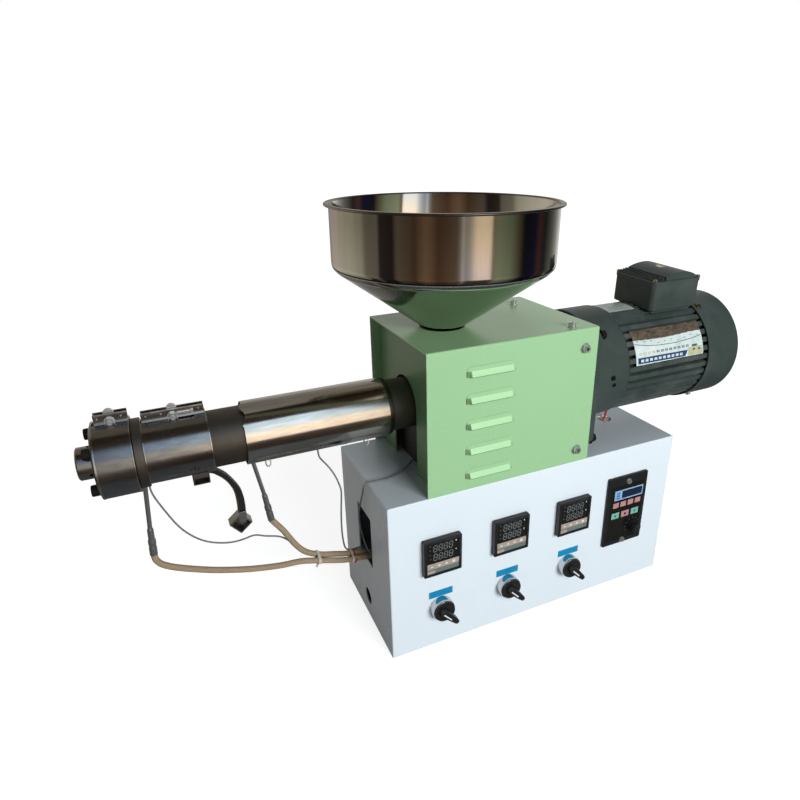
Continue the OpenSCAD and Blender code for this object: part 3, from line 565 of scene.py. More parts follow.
def disc(origin, axis, radius, length, steps=48):
    """A round cutter."""
    return lathe([(0, 0), (0, radius), (length, radius), (length, 0)], origin, axis, steps)


def tint_above(made, level, tint, facing=0.9):
    """The faces above a level that look up get another material."""
    for face in made.faces:
        if face.normal.z >= facing and face.calc_center_median().z > level / 1000:
            face.material_index = tint


half_long, half_deep, deck, sheet = 202.5, 82.5, 208, 1.5
stations = (-139, -47, 45)
along_x, to_front, to_back, to_top = (1, 0, 0), (0, -1, 0), (0, 1, 0), (0, 0, 1)
cabinet_white = surface("cabinet_white", (0.77, 0.84, 0.89), (0.755, 0.825, 0.875),
    rough=(0.22, 0.30), patch=5, grain=1400, relief=0.05, coat=0.15)
# The deck is the cabinet's white made darker for the faces that look up: painted shade on the
# top.
deck_white_painted_shade = surface("deck_white_painted_shade", (0.56, 0.62, 0.66), (0.52, 0.58, 0.62), rough=(0.26, 0.36),
    patch=7, grain=1400, relief=0.05, coat=0.15)
cabinet = carved(
    block((-half_long, -half_deep, 0), (half_long, half_deep, deck), 1.6, above=1),
    block((sheet - half_long, sheet - half_deep, sheet),
          (half_long - sheet, half_deep - sheet, deck - sheet)),
    *[block((x - 22.5, -90, 110), (x + 22.5, -70, 155)) for x in stations],
    *[disc((x, -90, 56), to_back, 11.2, 20) for x in stations],
    block((102, -90, 80.5), (160, -70, 164.5)),
    block((-210, -24, 89), (-190, 24, 159), 1.5, along="X"),
    disc((-210, 0, 29.5), along_x, 11, 20), disc((156.5, 0, 200), to_top, 10, 20),
    block((136.5, 70, 26.5), (163.5, 90, 45.5)))
# The up-facing faces of the box take the darker white: painted shade.
tint_above(cabinet, deck - 1, 1)
part("cabinet", cabinet, [cabinet_white, deck_white_painted_shade],
     stands_for=["cabinet_tray", "cabinet_front_panel", "cabinet_left_end", "cabinet_deck"])

# ---- the hood ----
# A light green powder-coated cover folded over front, top and back, its five louvres
# lanced and pushed out of each side, with an end plate set in behind the folded edges.
def at_row(x):
    """A place on the barrel's axis."""
    return x, row_y, row_z


hood_green = surface("hood_green", (0.345, 0.585, 0.315), (0.335, 0.57, 0.305),
    rough=(0.24, 0.32), patch=4, grain=1300, relief=0.04, coat=0.5)
# The hood's up-facing faces take a copy of the same green, its broad patches a little darker:
# painted shade on the top.
hood_crown_shaded_copy = surface("hood_crown_shaded_copy", (0.345, 0.575, 0.31), (0.325, 0.545, 0.29),
    rough=(0.24, 0.32), patch=9, grain=1300, relief=0.04, coat=0.5)
hood_top, louvres, pitch = 376, 5, 30.2
row_y, row_z, hopper_x = 4.5, 289, -93.5
hood = carved(
    block((-154, -half_deep, deck), (61, half_deep, hood_top), 2.2, 4, "X", 300),
    block((-160, sheet - half_deep, 200), (70, half_deep - sheet, hood_top - sheet), 0.8, 3,
          "X", 300),
    disc((hopper_x, row_y, 360), to_top, 26.3, 30, 64),
    *[block((-106, y - 5, 222.8 + pitch * k), (-49, y + 5, 226.5 + pitch * k))
      for y in (-85, 85) for k in range(louvres)])
# The top faces take the shaded copy of the green: painted shade.
tint_above(hood, hood_top - 0.5, 1)
part("hood", hood, [hood_green, hood_crown_shaded_copy], stands_for=["hood_cover"])
plate = carved(
    block((-142.5, sheet - half_deep, deck), (-141, half_deep - sheet, hood_top - sheet)),
    disc(at_row(-150), along_x, 33, 20, 96),
    block((-150, row_y - 33, 200), (-130, row_y + 33, row_z)))
# The end plate is the hood's green at about half its brightness: painted shade on the side
# turned from the light.
part("hood_end", plate, surface(
    "hood_green_end_painted_shade", (0.165, 0.30, 0.145), (0.15, 0.28, 0.135), rough=(0.34, 0.44),
    patch=4, grain=1300, relief=0.06, coat=0.1),
     stands_for=["hood_end_plate"])


def pushed_out(u, v):
    """How far the louvre stands out: a crease round its closed sides, most at the lip."""
    end, top = min(u, louvre_long - u), louvre_high - v
    within = min(top, 1.9 * end)
    if end < 6 and top < 6:
        within = min(within, 6 - hypot(6 - end, 6 - top))
    for (a, low), (b, high) in zip(rises, rises[1:]):
        if a <= within <= b:
            return low + (high - low) * (within - a) / (b - a)
    return 0.0


def louvre(along, upward):
    """A stretch of one lanced louvre: a thin skin that bulges down to an open lip."""
    made = bmesh.new()
    skins = []
    for inner in (0, 1):
        skins.append([[made.verts.new(mm(
            (u - louvre_long / 2) * (1 - 0.02 * inner),
            -pushed_out(u, v) + (0.9 if inner else -0.02), v * (0.96 if inner else 1)))
            for u in along] for v in upward])
        skinned(made, skins[-1], ring=False)
    outer, inner = skins
    last, top = len(along) - 1, len(upward) - 1
    border = [(0, i) for i in range(last)] + [(j, last) for j in range(top)]
    border += [(top, i) for i in range(last, 0, -1)] + [(j, 0) for j in range(top, 0, -1)]
    for (j, i), (j2, i2) in zip(border, border[1:] + border[:1]):
        made.faces.new((outer[j][i], outer[j2][i2], inner[j2][i2], inner[j][i]))
    return made


louvre_long, louvre_high = 61.5, 11.6
rises = ((0, 0), (0.9, 1.0), (1.6, 1.15), (4.2, 1.35), (8, 2.9), (louvre_high, 4.6))
ends = [0, 0.25, 0.5, 0.9, 1.4, 2.0, 2.7, 3.5, 4.3, 5.2, 6.2]
along = ends + [ends[-1] + (louvre_long - 2 * ends[-1]) * k / 12 for k in range(1, 12)]
along += [louvre_long - e for e in ends[::-1]]
upward = [0, 0.6, 2.2, 3.8, 5.4, 6.6, 7.5, 8.4, 9.2, 10, 10.4, 10.7, 11, 11.3, louvre_high]
items = []


def item(made):
    """A loose piece for a node tree to repeat."""
    items.append(shown("item", outward_mesh("item", made)))
    return items[-1]


def repeater(name, kind):
    """A node tree that repeats an item in a row or round a ring."""
    tree = bpy.data.node_groups.new(name, "GeometryNodeTree")
    face = tree.interface
    face.new_socket("Geometry", in_out="OUTPUT", socket_type="NodeSocketGeometry")
    for label, socket in (("Geometry", "Geometry"), ("Item", "Object"), ("Count", "Int"),
                          ("Start", "Vector"), ("Step", "Vector"), ("Turn", "Rotation"),
                          ("Radius", "Float"), ("First", "Float"), ("Finish", "Material")):
        face.new_socket(label, in_out="INPUT", socket_type="NodeSocket" + socket)
    given = node(tree, "NodeGroupInput").outputs
    thing = node(tree, "GeometryNodeObjectInfo", {"Object": given["Item"]})
    if kind == "row":
        spots = node(tree, "GeometryNodeMeshLine", {
            "Count": given["Count"], "Start Location": given["Start"],
            "Offset": given["Step"]})
        put = node(tree, "GeometryNodeInstanceOnPoints", {
            "Points": spots.outputs[0], "Instance": thing.outputs["Geometry"],
            "Rotation": given["Turn"]})
    else:
        spots = node(tree, "GeometryNodeMeshCircle", {
            "Vertices": given["Count"], "Radius": given["Radius"]})
        order = node(tree, "GeometryNodeInputIndex").outputs[0]
        share = maths(tree, "DIVIDE", order, given["Count"])
        angle = maths(tree, "MULTIPLY", share, 2 * pi)
        spin = node(tree, "ShaderNodeCombineXYZ", {2: angle}).outputs[0]
        put = node(tree, "GeometryNodeInstanceOnPoints", {
            "Points": spots.outputs[0], "Instance": thing.outputs["Geometry"],
            "Rotation": spin})
        begun = node(tree, "ShaderNodeCombineXYZ", {2: given["First"]}).outputs[0]
        begun = node(tree, "GeometryNodeTransform", {
            "Geometry": put.outputs[0], "Rotation": begun})
        put = node(tree, "GeometryNodeTransform", {
            "Geometry": begun.outputs[0], "Rotation": given["Turn"],
            "Translation": given["Start"]})
    laid = node(tree, "GeometryNodeRealizeInstances", {0: put.outputs[0]})
    done = node(tree, "GeometryNodeSetMaterial", {
        "Geometry": laid.outputs[0], "Material": given["Finish"]})
    node(tree, "NodeGroupOutput", {0: done.outputs[0]})
    return tree


row_of = repeater("row_of_items", "row")


def repeated(tree, thing, finish, mesh, tint, **given):
    """The plain mesh a repeater makes, added to a mesh if one is given."""
    host = shown("host", bpy.data.meshes.new("host"))
    maker = host.modifiers.new("repeat", "NODES")
    maker.node_group = tree
    sockets = {s.name: s.identifier for s in tree.interface.items_tree
               if s.item_type == "SOCKET" and s.in_out == "INPUT"}
    for label, value in dict(given, Item=thing, Finish=finish).items():
        maker[sockets[label]] = value
    host.update_tag()
    plain = settled(host)
    host.modifiers.remove(maker)
    bpy.data.objects.remove(host)
    made = bmesh.new()
    made.from_mesh(plain)
    bpy.data.meshes.remove(plain)
    return joined(mesh, made, tint)


def row(thing, finish, count, start, step, turn=(0.0, 0.0, 0.0), mesh=None, tint=0):
    """A straight row of an item, its start and step in millimetres."""
    return repeated(row_of, thing, finish, mesh, tint, Count=count, Start=tuple(mm(*start)),
                    Step=tuple(mm(*step)), Turn=turn)


# On each louvre the lip is painted a lighter green as a highlight, and the left end and the
# fold at the opening a dark green as shade.
lip_painted_highlight = surface("louvre_lip_painted_highlight", (0.47, 0.77, 0.43), (0.44, 0.73, 0.40), rough=(0.24, 0.32),
    patch=9, grain=1300, relief=0.04, coat=0.5)
crease = surface("louvre_crease_painted_shade", (0.14, 0.26, 0.13), (0.18, 0.32, 0.16), rough=(0.4, 0.5),
    patch=60, grain=1300, relief=0.04, shine=0.3)
slats = None
for part_along, part_upward, skin, tint in (
        (along, upward[5:], hood_green, 0),             # the sloping back
        (along[9:-9], upward[1:6], lip_painted_highlight, 1),       # the lip, a lighter green: painted highlight
        (along[:10], upward[1:6], crease, 2),           # the end in shade
        (along[-10:], upward[1:6], hood_green, 0),      # the end in light
        (along, upward[:2], crease, 2)):                # the fold at the opening, a dark green: painted shade
    pressing = item(louvre(part_along, part_upward))
    for y, half_turn in ((-half_deep, 0.0), (half_deep, pi)):
        slats = row(pressing, skin, louvres, (-77.6, y, 222.4), (0, 0, pitch),
                    (0.0, 0.0, half_turn), slats, tint)
part("hood_louvres", slats, [hood_green, lip_painted_highlight, crease])

# ---- the hood's screws ----
# Bright socket cap screws with plain washers hold the hood to the bracket inside it.
def cap_screw(head, tall, washer=0.0, key=0.0):
    """A cap screw standing on z = 0: a washer, then a head with a six-sided socket."""
    made = bmesh.new()
    base = 0.0
    if washer:
        lathe([(-0.3, 0.6 * head), (-0.3, washer), (0.8, washer), (0.8, 0.6 * head)],
              (0, 0, 0), to_top, 32, soft=0.2, mesh=made)
        base = 0.8
    top, key = base + tall, key or head * 0.5
    rings = []
    for radius, level, sides in ((head, base - 0.2, 0), (head, top - head * 0.14, 0),
                                 (head * 0.9, top, 0), (key * 1.04, top, 6),
                                 (key, top - 0.15, 6), (key, top - tall * 0.55, 6),
                                 (0, top - tall * 0.6, 6)):
        rings.append([])
        for a in [2 * pi * k / 24 for k in range(24)]:
            reach = radius * (cos(pi / 6) / cos(a % (pi / 3) - pi / 6) if sides else 1)
            rings[-1].append(made.verts.new(mm(reach * cos(a), reach * sin(a), level)))
    skinned(made, rings)
    made.faces.new(rings[0][::-1])
    bmesh.ops.remove_doubles(made, verts=made.verts, dist=2e-7)
    return made


zinc = surface("zinc_plated", (0.82, 0.85, 0.85), (0.7, 0.73, 0.73), rough=(0.2, 0.34),
    metal=0.85, patch=120, grain=2200, relief=0.08, hollow_tone=(0.12, 0.11, 0.1))
bright = item(cap_screw(4.4, 4.6, 6.0, key=2.1))
faces = {"front": (pi / 2, 0.0, 0.0), "back": (-pi / 2, 0.0, 0.0), "top": (0.0, 0.0, 0.0),
         "left": (0.0, -pi / 2, 0.0), "right": (0.0, pi / 2, 0.0)}
screws = row(bright, zinc, 2, (42.6, -half_deep, 225), (0.4, 0, 128), faces["front"])
row(bright, zinc, 2, (42.6, half_deep, 225), (0.4, 0, 128), faces["back"], screws)
row(bright, zinc, 2, (33, -69.5, hood_top), (-2.5, 118, 0), faces["top"], screws)
part("hood_screws", screws, zinc)

# ---- the hopper ----
# A wide bowl of mirror-bright stainless sheet: an upright wall with a thin turned-out
# lip, a rounded seam, and a cone down to a short neck, on which it leans a little.
mirror_steel = surface("mirror_steel", (0.66, 0.63, 0.58), (0.6, 0.57, 0.52),
    rough=(0.05, 0.10), metal=1, patch=14, grain=600, relief=0.012, stretch=(1, 1, 0.12),
    hollow_tone=(0.2, 0.17, 0.13))
# The cone is the wall's steel made about a quarter darker: painted shade.
cone_steel_painted_shade = surface("cone_steel_painted_shade", (0.5, 0.5, 0.46), (0.44, 0.44, 0.4), rough=(0.07, 0.13),
    metal=1, patch=14, grain=600, relief=0.012, hollow_tone=(0.2, 0.17, 0.13))
# A dark band laid along the hopper's rounded seam: painted shadow.
seam_painted_shadow = surface("seam_shadow", (0.09, 0.075, 0.06), (0.05, 0.045, 0.04), rough=(0.3, 0.5),
    metal=1, patch=60, grain=900)


def swung(place, angle, axis):
    """A turn in degrees about an axis, then a shift in millimetres."""
    return Matrix.Translation(mm(*place)) @ Matrix.Rotation(radians(angle), 4, axis)


def moved(made, matrix):
    """The piece carried by a matrix."""
    bmesh.ops.transform(made, verts=made.verts, matrix=matrix)
    return made


def shoulder(radius, first, last, steps=9):
    """Points of (along, radius) on the rounding between the cone and the wall."""
    return [(101.4 - radius * sin(a), 108.9 + radius * cos(a))
            for a in [radians(first + (last - first) * k / steps) for k in range(steps + 1)]]


hopper_foot = (hopper_x, row_y, 352)
leaning = swung((hopper_x, row_y, hood_top), 0.75, "Y") @ swung((0, 0, 0), 0.48, "X") \
    @ Matrix.Translation(mm(-hopper_x, -row_y, -hood_top))
cone = lathe([(22, 24.2), (0.45, 23.8), (0.45, 25), (24.2, 25), (25.3, 25.4), (27, 27.8),
              (88.5, 114.73), (90, 116.85)]
             + shoulder(14, 54.7, 20) + shoulder(12.8, 20, 54.7) + [(91, 116.2), (26.4, 24.2)],
             hopper_foot, to_top, 192)
wall = shoulder(14, 20.4, 0) + [(102.1, 122.9), (158.6, 122.9)]
wall += [(159.9 + 1.3 * sin(a), 126.8 - 1.3 * cos(a))
         for a in [radians(-80 - 20 * k) for k in range(11)]]
wall += [(161.2, 123.2), (160.8, 122.5), (159.6, 121.9), (102.4, 121.7)]
wall += shoulder(12.8, 0, 20.4)
bowl = joined(cone, lathe(wall, hopper_foot, to_top, 192), 1)
tint_above(bowl, 510.5, 2, facing=-inf)
part("hopper", moved(bowl, leaning), [cone_steel_painted_shade, mirror_steel, surface(
    "lip_steel", (0.3, 0.27, 0.23), (0.24, 0.215, 0.18), rough=(0.24, 0.36), metal=1,
    patch=30, grain=900, relief=0.05, hollow_tone=(0.05, 0.045, 0.035))],
     stands_for=["hopper_wall", "hopper_cone"], angle=50, even=False)
seam = lathe(shoulder(14.25, 17, 22, 2) + shoulder(13.6, 22, 17, 2), hopper_foot, to_top, 192)
seam = lathe(shoulder(14.3, 23, 27, 3) + shoulder(13.6, 27, 23, 3), hopper_foot, to_top, 192,
    mesh=seam, tint=1)
part("hopper_seam", moved(seam, leaning), [seam_painted_shadow, zinc])

# ---- the barrel and its flange ----
# A thick turned steel barrel, dull and heat-stained, screwed into the feed head, with a
# plain flange on its far end that takes the die.
turned_steel = surface("turned_steel", (0.29, 0.26, 0.23), (0.23, 0.205, 0.18),
    rough=(0.46, 0.6), metal=1, patch=16, grain=900, relief=0.14, stretch=(1.0, 0.12, 0.12),
    edge=(0.34, 0.32, 0.3), hollow_tone=(0.03, 0.026, 0.022))
barrel_start, barrel_round, screw_bore = -434.5, 30, 10.1
part("barrel_tube", lathe(
    [(0, screw_bore), (0, 34.9), (0.9, 35.3), (9, 35.3), (9, barrel_round),
     (302, barrel_round), (302, screw_bore)],
    at_row(barrel_start), along_x, 128, soft=0.5),
    turned_steel, stands_for=["barrel"])

# ---- the feed screw ----
# A ground steel screw with one deep flight, running from the gearbox through the feed
# head to just behind the die; its tip is pointed.
ground_steel = surface("ground_steel", (0.5, 0.5, 0.49), (0.42, 0.42, 0.41), rough=(0.2, 0.32),
    metal=1, patch=30, grain=1200, relief=0.06, hollow_tone=(0.12, 0.11, 0.1))
screw = lathe([(-432.5, 0), (-424.5, 6.2), (-120, 6.2), (-60, 6.0), (-55, 10), (71, 10),
    (71, 0)], at_row(0), along_x, 40)
turns, facets, lead = 18, 28, 20
flight = []
for k in range(turns * facets + 1):
    a, x = 2 * pi * k / facets, -424 + lead * k / facets
    up = Vector((0, cos(a), sin(a)))
    flight.append([screw.verts.new(mm(x + dx, row_y, row_z) + up * r / 1000)
                   for dx, r in ((-1.6, 5.9), (-1.1, 9.9), (1.1, 9.9), (1.6, 5.9))])
skinned(screw, flight)
for end in (flight[0], flight[-1][::-1]):
    screw.faces.new(end)
part("feed_screw_flighted", screw, ground_steel,
     stands_for=["feed_screw"])

# ---- the long heater's sheath ----
# Polished stainless sheet rolled round the ceramic heater: its left end is cut in a wave
# high up, a collar scorched by the heat closes the right one, and two wire eyes and the
# slot of the clamp show underneath.
polished = surface("polished_sheet", (0.62, 0.57, 0.51), (0.56, 0.51, 0.45), rough=(0.09, 0.16),
    metal=1, patch=10, grain=500, relief=0.03, stretch=(0.15, 1, 1), edge=(0.8, 0.78, 0.74),
    hollow_tone=(0.12, 0.1, 0.08))


def sheath_end(point, a):
    """The left end runs back in a shallow wave over the upper front."""
    if point[0] > 80:
        return point[0]
    angle = degrees(a)
    cut = 0.0
    if 34 < angle < 88:
        cut = 1.6 * sin(radians(9 * angle)) + 3.4 * max(0.0, 1 - abs(angle - 62) / 16)
    elif 88 <= angle < 140:
        cut = 2.6 * min(1, (angle - 84) / 6)
    return point[0] + cut * (1 - point[0] / 162.5)


sheath = lathe([(0, 33.1), (0, 34), (156.8, 34), (157.2, 33.8), (157.2, 33.1)],
               at_row(-330.5), (-1, 0, 0), 160, wobble=lambda p, a: -sheath_end(p, a))
sheath = lathe([(155, 30.2), (155, 33.4), (162.1, 33.4), (162.5, 33), (162.5, 30.2)],
               at_row(-330.5), along_x, 160, mesh=sheath, tint=1)
part("sheath", sheath, [polished, surface(
    "scorched_collar", (0.16, 0.14, 0.115), (0.1, 0.085, 0.07), rough=(0.24, 0.36),
    metal=1, patch=40, grain=900, relief=0.12, hollow_tone=(0.02, 0.018, 0.015))],
     stands_for=["heater_sheath"], angle=50)
# The clamp's slot is a flat near-black patch laid on the sheath: painted shade in the opening.
slot_painted_shade = surface("slot_painted_shade", (0.012, 0.011, 0.01), (0.02, 0.018, 0.016), rough=(0.7, 0.9),
    patch=60, grain=800, shine=0.2)
low_front = Vector((0, -sin(radians(20)), -cos(radians(20))))
across = Vector((0, -low_front.z, low_front.y)) * 1.7
notch = bmesh.new()
for depth in (33.95, 34.25):
    middle = Vector(at_row(-223)) + low_front * depth
    notch.faces.new([notch.verts.new((middle + across * sin(a) + Vector((5.5 * cos(a), 0, 0)))
                                     / 1000) for a in [pi / 8 * k for k in range(16)]])
part("sheath_slot", notch, slot_painted_shade)
eyes = bmesh.new()
for x in (-308.5, -196.5):
    wire = [mm(x - 2.6, -6.5, 257.6), mm(x - 2.8, -7.6, 254.5), mm(x - 2.5, -8.2, 252),
             mm(x - 1.2, -8.6, 250.6), mm(x + 0.4, -8.6, 250.5), mm(x + 1.9, -8.3, 251.6),
             mm(x + 2.3, -7.7, 254), mm(x + 2.2, -6.8, 256.6)]
    tube(wire, 0.0008, 10, eyes)
part("sheath_eyes", eyes, zinc)

# ---- the die head and the nozzle ----
# A turned steel disc bolted to the flange through four black socket screws, and a short
# bright nozzle screwed into it with the outlet for the filament.
machined = surface("machined_steel", (0.24, 0.205, 0.165), (0.19, 0.16, 0.13),
    rough=(0.22, 0.36), metal=1, patch=26, grain=1100, relief=0.1, stretch=(1, 0.15, 0.15),
    edge=(0.55, 0.52, 0.48), hollow_tone=(0.05, 0.04, 0.03))
die_start, die_round, die_bore = -470.5, 36, 8
die_long = barrel_start - die_start
part("die", lathe(
    [(0, die_bore), (0, 34.8), (1.2, die_round), (die_long, die_round), (die_long, die_bore)],
    at_row(die_start), along_x, 128, soft=0.4), machined,
    stands_for=["die_head"])
part("nozzle_tip", lathe(
    [(0, 3.2), (0, 15.0), (1.3, 16.4), (16, 16.4), (16, 8), (10.5, 3.0), (5.5, 1.5),
     (1.6, 1.5)], at_row(-486.5), along_x, 96, soft=0.3),
    surface("nozzle_steel", (0.46, 0.44, 0.42), (0.38, 0.36, 0.34), rough=(0.14, 0.24),
            metal=1, patch=60, grain=1100, relief=0.06, stretch=(1, 0.15, 0.15),
            edge=(0.7, 0.68, 0.65), hollow_tone=(0.05, 0.04, 0.03)),
    stands_for=["nozzle"])
ring_of = repeater("ring_of_items", "ring")


def ring(thing, finish, count, centre, turn, first, radius=1e-4, mesh=None, tint=0):
    """A ring of an item round a centre, the first one turned by first degrees."""
    return repeated(ring_of, thing, finish, mesh, tint, Count=count, Radius=radius / 1000,
                    Start=tuple(mm(*centre)), Turn=turn, First=radians(first))


oxide = surface("black_oxide", (0.008, 0.008, 0.009), (0.012, 0.012, 0.012), rough=(0.4, 0.55),
    patch=90, grain=1500, relief=0.04, shine=0.2)
black_cap = item(cap_screw(5.7, 7.2, key=2.8))
crown = ring(black_cap, oxide, 4, at_row(die_start), faces["left"], 40, 28.8)
part("die_screws", crown, oxide)

# ---- the two heater bands ----
# Polished sheet bent round the die and the barrel's front, the two ends turned up into
# ears that a bolt with a bright nut pulls together; the rear one has a terminal clip.
band_sheet = surface("band_sheet", (0.38, 0.37, 0.36), (0.32, 0.31, 0.3), rough=(0.14, 0.24),
    metal=1, patch=22, grain=900, relief=0.05, stretch=(0.3, 1, 1), edge=(0.85, 0.83, 0.8),
    hollow_tone=(0.1, 0.085, 0.07))


def prism(outline, low, high, axis="Y", soft=0.0, mesh=None, tint=0):
    """A flat outline in millimetres pushed from one level to another along an axis."""
    made = bmesh.new()
    order = {"X": (2, 0, 1), "Y": (0, 2, 1), "Z": (0, 1, 2)}[axis]

    def at(p, level):
        loose = (p[0], p[1], level)
        return made.verts.new(mm(*[loose[k] for k in order]))

    ends = [[at(p, level) for p in outline] for level in (low, high)]
    skinned(made, ends, capped=True)
    bmesh.ops.recalc_face_normals(made, faces=made.faces)
    if soft:
        rims = [e for e in made.edges if len(e.link_faces) == 2
                and max(len(f.verts) for f in e.link_faces) == len(outline)
                and e.calc_face_angle() > 0.5]
        softened(made, rims, soft)
    return joined(mesh, made, tint)


def band(x0, x1, inner, outer, ear0, ear1, top, mesh):
    """The ring, open on top, and its two ears with a folded-over upper edge."""
    gap, fold = 2.5, 2.0
    begin = degrees(atan2(gap + fold, outer))
    arc = [radians(begin + (360 - 2 * begin) * k / 96) for k in range(97)]
    hoop = [(row_y + outer * sin(a), row_z + outer * cos(a)) for a in arc]
    hoop += [(row_y + inner * sin(a), row_z + inner * cos(a)) for a in arc[::-1]]
    prism(hoop, x0, x1, "X", 0.35, mesh)
    foot = outer * cos(radians(begin)) - 1.5
    for s in (-1, 1):
        ear = [(row_y + s * (gap + out), row_z + z) for out, z in (
            (0, foot - 1), (0, top), (fold, top), (fold, top - 3.2), (1.1, top - 3.6),
            (1.1, foot + 3.2), (fold, foot + 1.6), (fold, foot - 1))]
        prism(eased(ear, 0.5, 2), ear0, ear1, "X", 0.2, mesh)


bands = bmesh.new()
clear = 0.05
band(-468.5, barrel_start, die_round + clear, 38.5, -464.5, barrel_start, 48.5, bands)
band(-425.5, -363.5, barrel_round + clear, 33, -423.5, -364.5, 42.5, bands)
for x, r, half in ((-434.9, 38.5, 0.5), (-467.9, 38.5, 0.9), (-425.1, 33, 0.5),
                   (-364.1, 33, 0.6)):
    lathe([(-half, r - 0.2), (-half, r + 0.35), (half, r + 0.35), (half, r - 0.2)],
          at_row(x), along_x, 128, soft=0.2, mesh=bands, tint=1)
part("heater_bands", bands, [band_sheet, surface(
    "band_hem", (0.75, 0.73, 0.7), (0.6, 0.58, 0.55), rough=(0.15, 0.25), metal=1,
    patch=80, grain=1200, relief=0.08)],
     stands_for=["heater_band_front", "heater_band_rear"])
clip = block((-386.5, -4.5, 243.5), (-369.5, 13.5, 257), 0.6)
clip = carved(clip, block((-385.1, -10, 245), (-370.9, 12, 251.2), 0.5))
block((-385.6, -4.9, 251), (-370.4, -4.2, 255.6), 0.2, mesh=clip)
part("band_clip", clip, surface(
    "clip_steel", (0.3, 0.3, 0.29), (0.22, 0.22, 0.215), rough=(0.25, 0.4), metal=1,
    patch=90, grain=1200, relief=0.1, edge=(0.6, 0.6, 0.58)))
fasten = bmesh.new()
for x, z in ((-450.5, 329.8), (-394.5, 324.3)):
    lathe([(0, 0), (0, 1.6), (17, 1.6), (17, 0)], (x, -4.6, z), to_back, 24, mesh=fasten)
    lathe([(0, 1.2), (0, 3.2), (0.6, 3.9), (3.4, 3.9), (3.9, 3.3), (3.9, 1.2)],
          (x, -3.9, z), to_back, 6, mesh=fasten)
    lathe([(0, 1.5), (0, 4.9), (0.7, 4.9), (0.7, 1.5)], (x, -0.1, z), to_back, 32,
          mesh=fasten)
    lathe([(0, 0), (0, 2.8), (0.5, 3.6), (3.2, 3.6), (3.2, 0)], (x, 9.1, z), to_back, 6,
        mesh=fasten)
    prism([(x + 5.2 * cos(a), z + 6.2 + 5.6 * sin(a)) for a in
           [pi * k / 10 for k in range(11)]], 3.0, 5.8, "Y", 0.4, fasten)
block((-391, -1.8, 325.3), (-376, 0.2, 328.6), 0.9, mesh=fasten)
block((-378, -2.2, 324.6), (-374.3, 0.2, 329.3), 1.0, mesh=fasten)
for x, z in ((-461, 333.5), (-440, 333.5), (-419, 328), (-369.5, 328), (-405, 328)):
    lathe([(0, 0), (0, 0.8), (0.3, 1.0), (0.8, 1.0), (0.8, 0)], (x, -0.4, z), to_back, 20,
        mesh=fasten)
part("band_bolts", fasten, zinc)


def spoke(x, a, r, centre_z):
    """A place r away from an axis at height centre_z, a degrees above the front, and the
    way out there."""
    outward = Vector((0, -cos(radians(a)), sin(radians(a))))
    return Vector((x, row_y, centre_z)) + outward * r, outward


weld = surface("weld_spot", (0.16, 0.14, 0.12), (0.24, 0.21, 0.18), rough=(0.35, 0.5), metal=1,
    patch=300, grain=3000, relief=0.2)
marks = bmesh.new()
for x, a in ((-383, -28), (-379.6, -28), (-386.4, -28), (-383, -22), (-379.6, -34)):
    lathe([(-0.5, 0), (-0.5, 1.1), (0.16, 1.0), (0.22, 0)], *spoke(x, a, 33, row_z), 16,
        mesh=marks)
part("band_spots", marks, weld)

# ---- the heater leads' tails ----
# Stiff steel tails come out under each heater; a thicker crimped ferrule on the end of
# each holds the woven sleeve.
tail_steel = surface("tail_steel", (0.46, 0.48, 0.49), (0.36, 0.38, 0.39), rough=(0.14, 0.24),
    metal=0.85, patch=60, grain=1600, relief=0.08, edge=(0.5, 0.5, 0.5),
    hollow_tone=(0.03, 0.03, 0.03))


def tail(start, bend, end, thin, thick, mesh):
    """A thin rod, then a crimped ferrule with two rings pressed into it."""
    start, bend, end = Vector(start), Vector(bend), Vector(end)
    lathe([(0, 0), (0, thin), ((bend - start).length + 2, thin),
        ((bend - start).length + 2, 0)], start, bend - start, 32, mesh=mesh)
    reach = (end - bend).length
    shape = [(0, 0), (0, thin + 0.3), (1.4, thick * 0.8), (reach * 0.4, thick * 0.82),
             (reach * 0.46, thick), (reach * 0.6, thick), (reach * 0.63, thick - 0.5),
             (reach * 0.68, thick - 0.5), (reach * 0.71, thick), (reach, thick), (reach, 0)]
    lathe(shape, bend, end - bend, 32, mesh=mesh)


tails = bmesh.new()
tail((-431.8, 4.5, 260), (-436.3, 4.5, 200.6), (-437.9, 4.5, 168.3), 2.4, 4.1, tails)
tail((-325.2, 4.5, 264), (-315.8, 4.5, 209.3), (-311.5, 4.5, 175.3), 2.3, 3.9, tails)
part("lead_tails", tails, tail_steel,
     stands_for=["lead_probe_front", "lead_probe_rear"])

# ---- the hanging clamp ----
# A flat dark strap bent down from the clip, its inner edge sheared bright, with a square
# folded saddle on its end and a tongue lapped over the front of it.
strap_steel = surface("strap_steel", (0.012, 0.012, 0.012), (0.022, 0.022, 0.021),
    rough=(0.4, 0.55), metal=0.2, patch=40, grain=400, relief=0.02)
sheared = surface("sheared_edge", (0.62, 0.61, 0.58), (0.5, 0.49, 0.46), rough=(0.3, 0.45),
    metal=1, patch=90, grain=1800, relief=0.1)
outer_side = flowing([(-369.4, 0, 255.6), (-363.2, 0, 254.6), (-356.5, 0, 249.5),
                      (-350.5, 0, 242.7), (-342.7, 0, 229.5), (-338.8, 0, 218.4),
                      (-337.8, 0, 204), (-338.5, 0, 192)], 5)
inner_side = flowing([(-369.4, 0, 251.4), (-365, 0, 249.3), (-357.7, 0, 242.6),
                      (-352.5, 0, 235.4), (-348.4, 0, 226), (-346.6, 0, 215.4),
                      (-346.1, 0, 202.5), (-346.5, 0, 190)], 5)
strap = bmesh.new()
rows = []
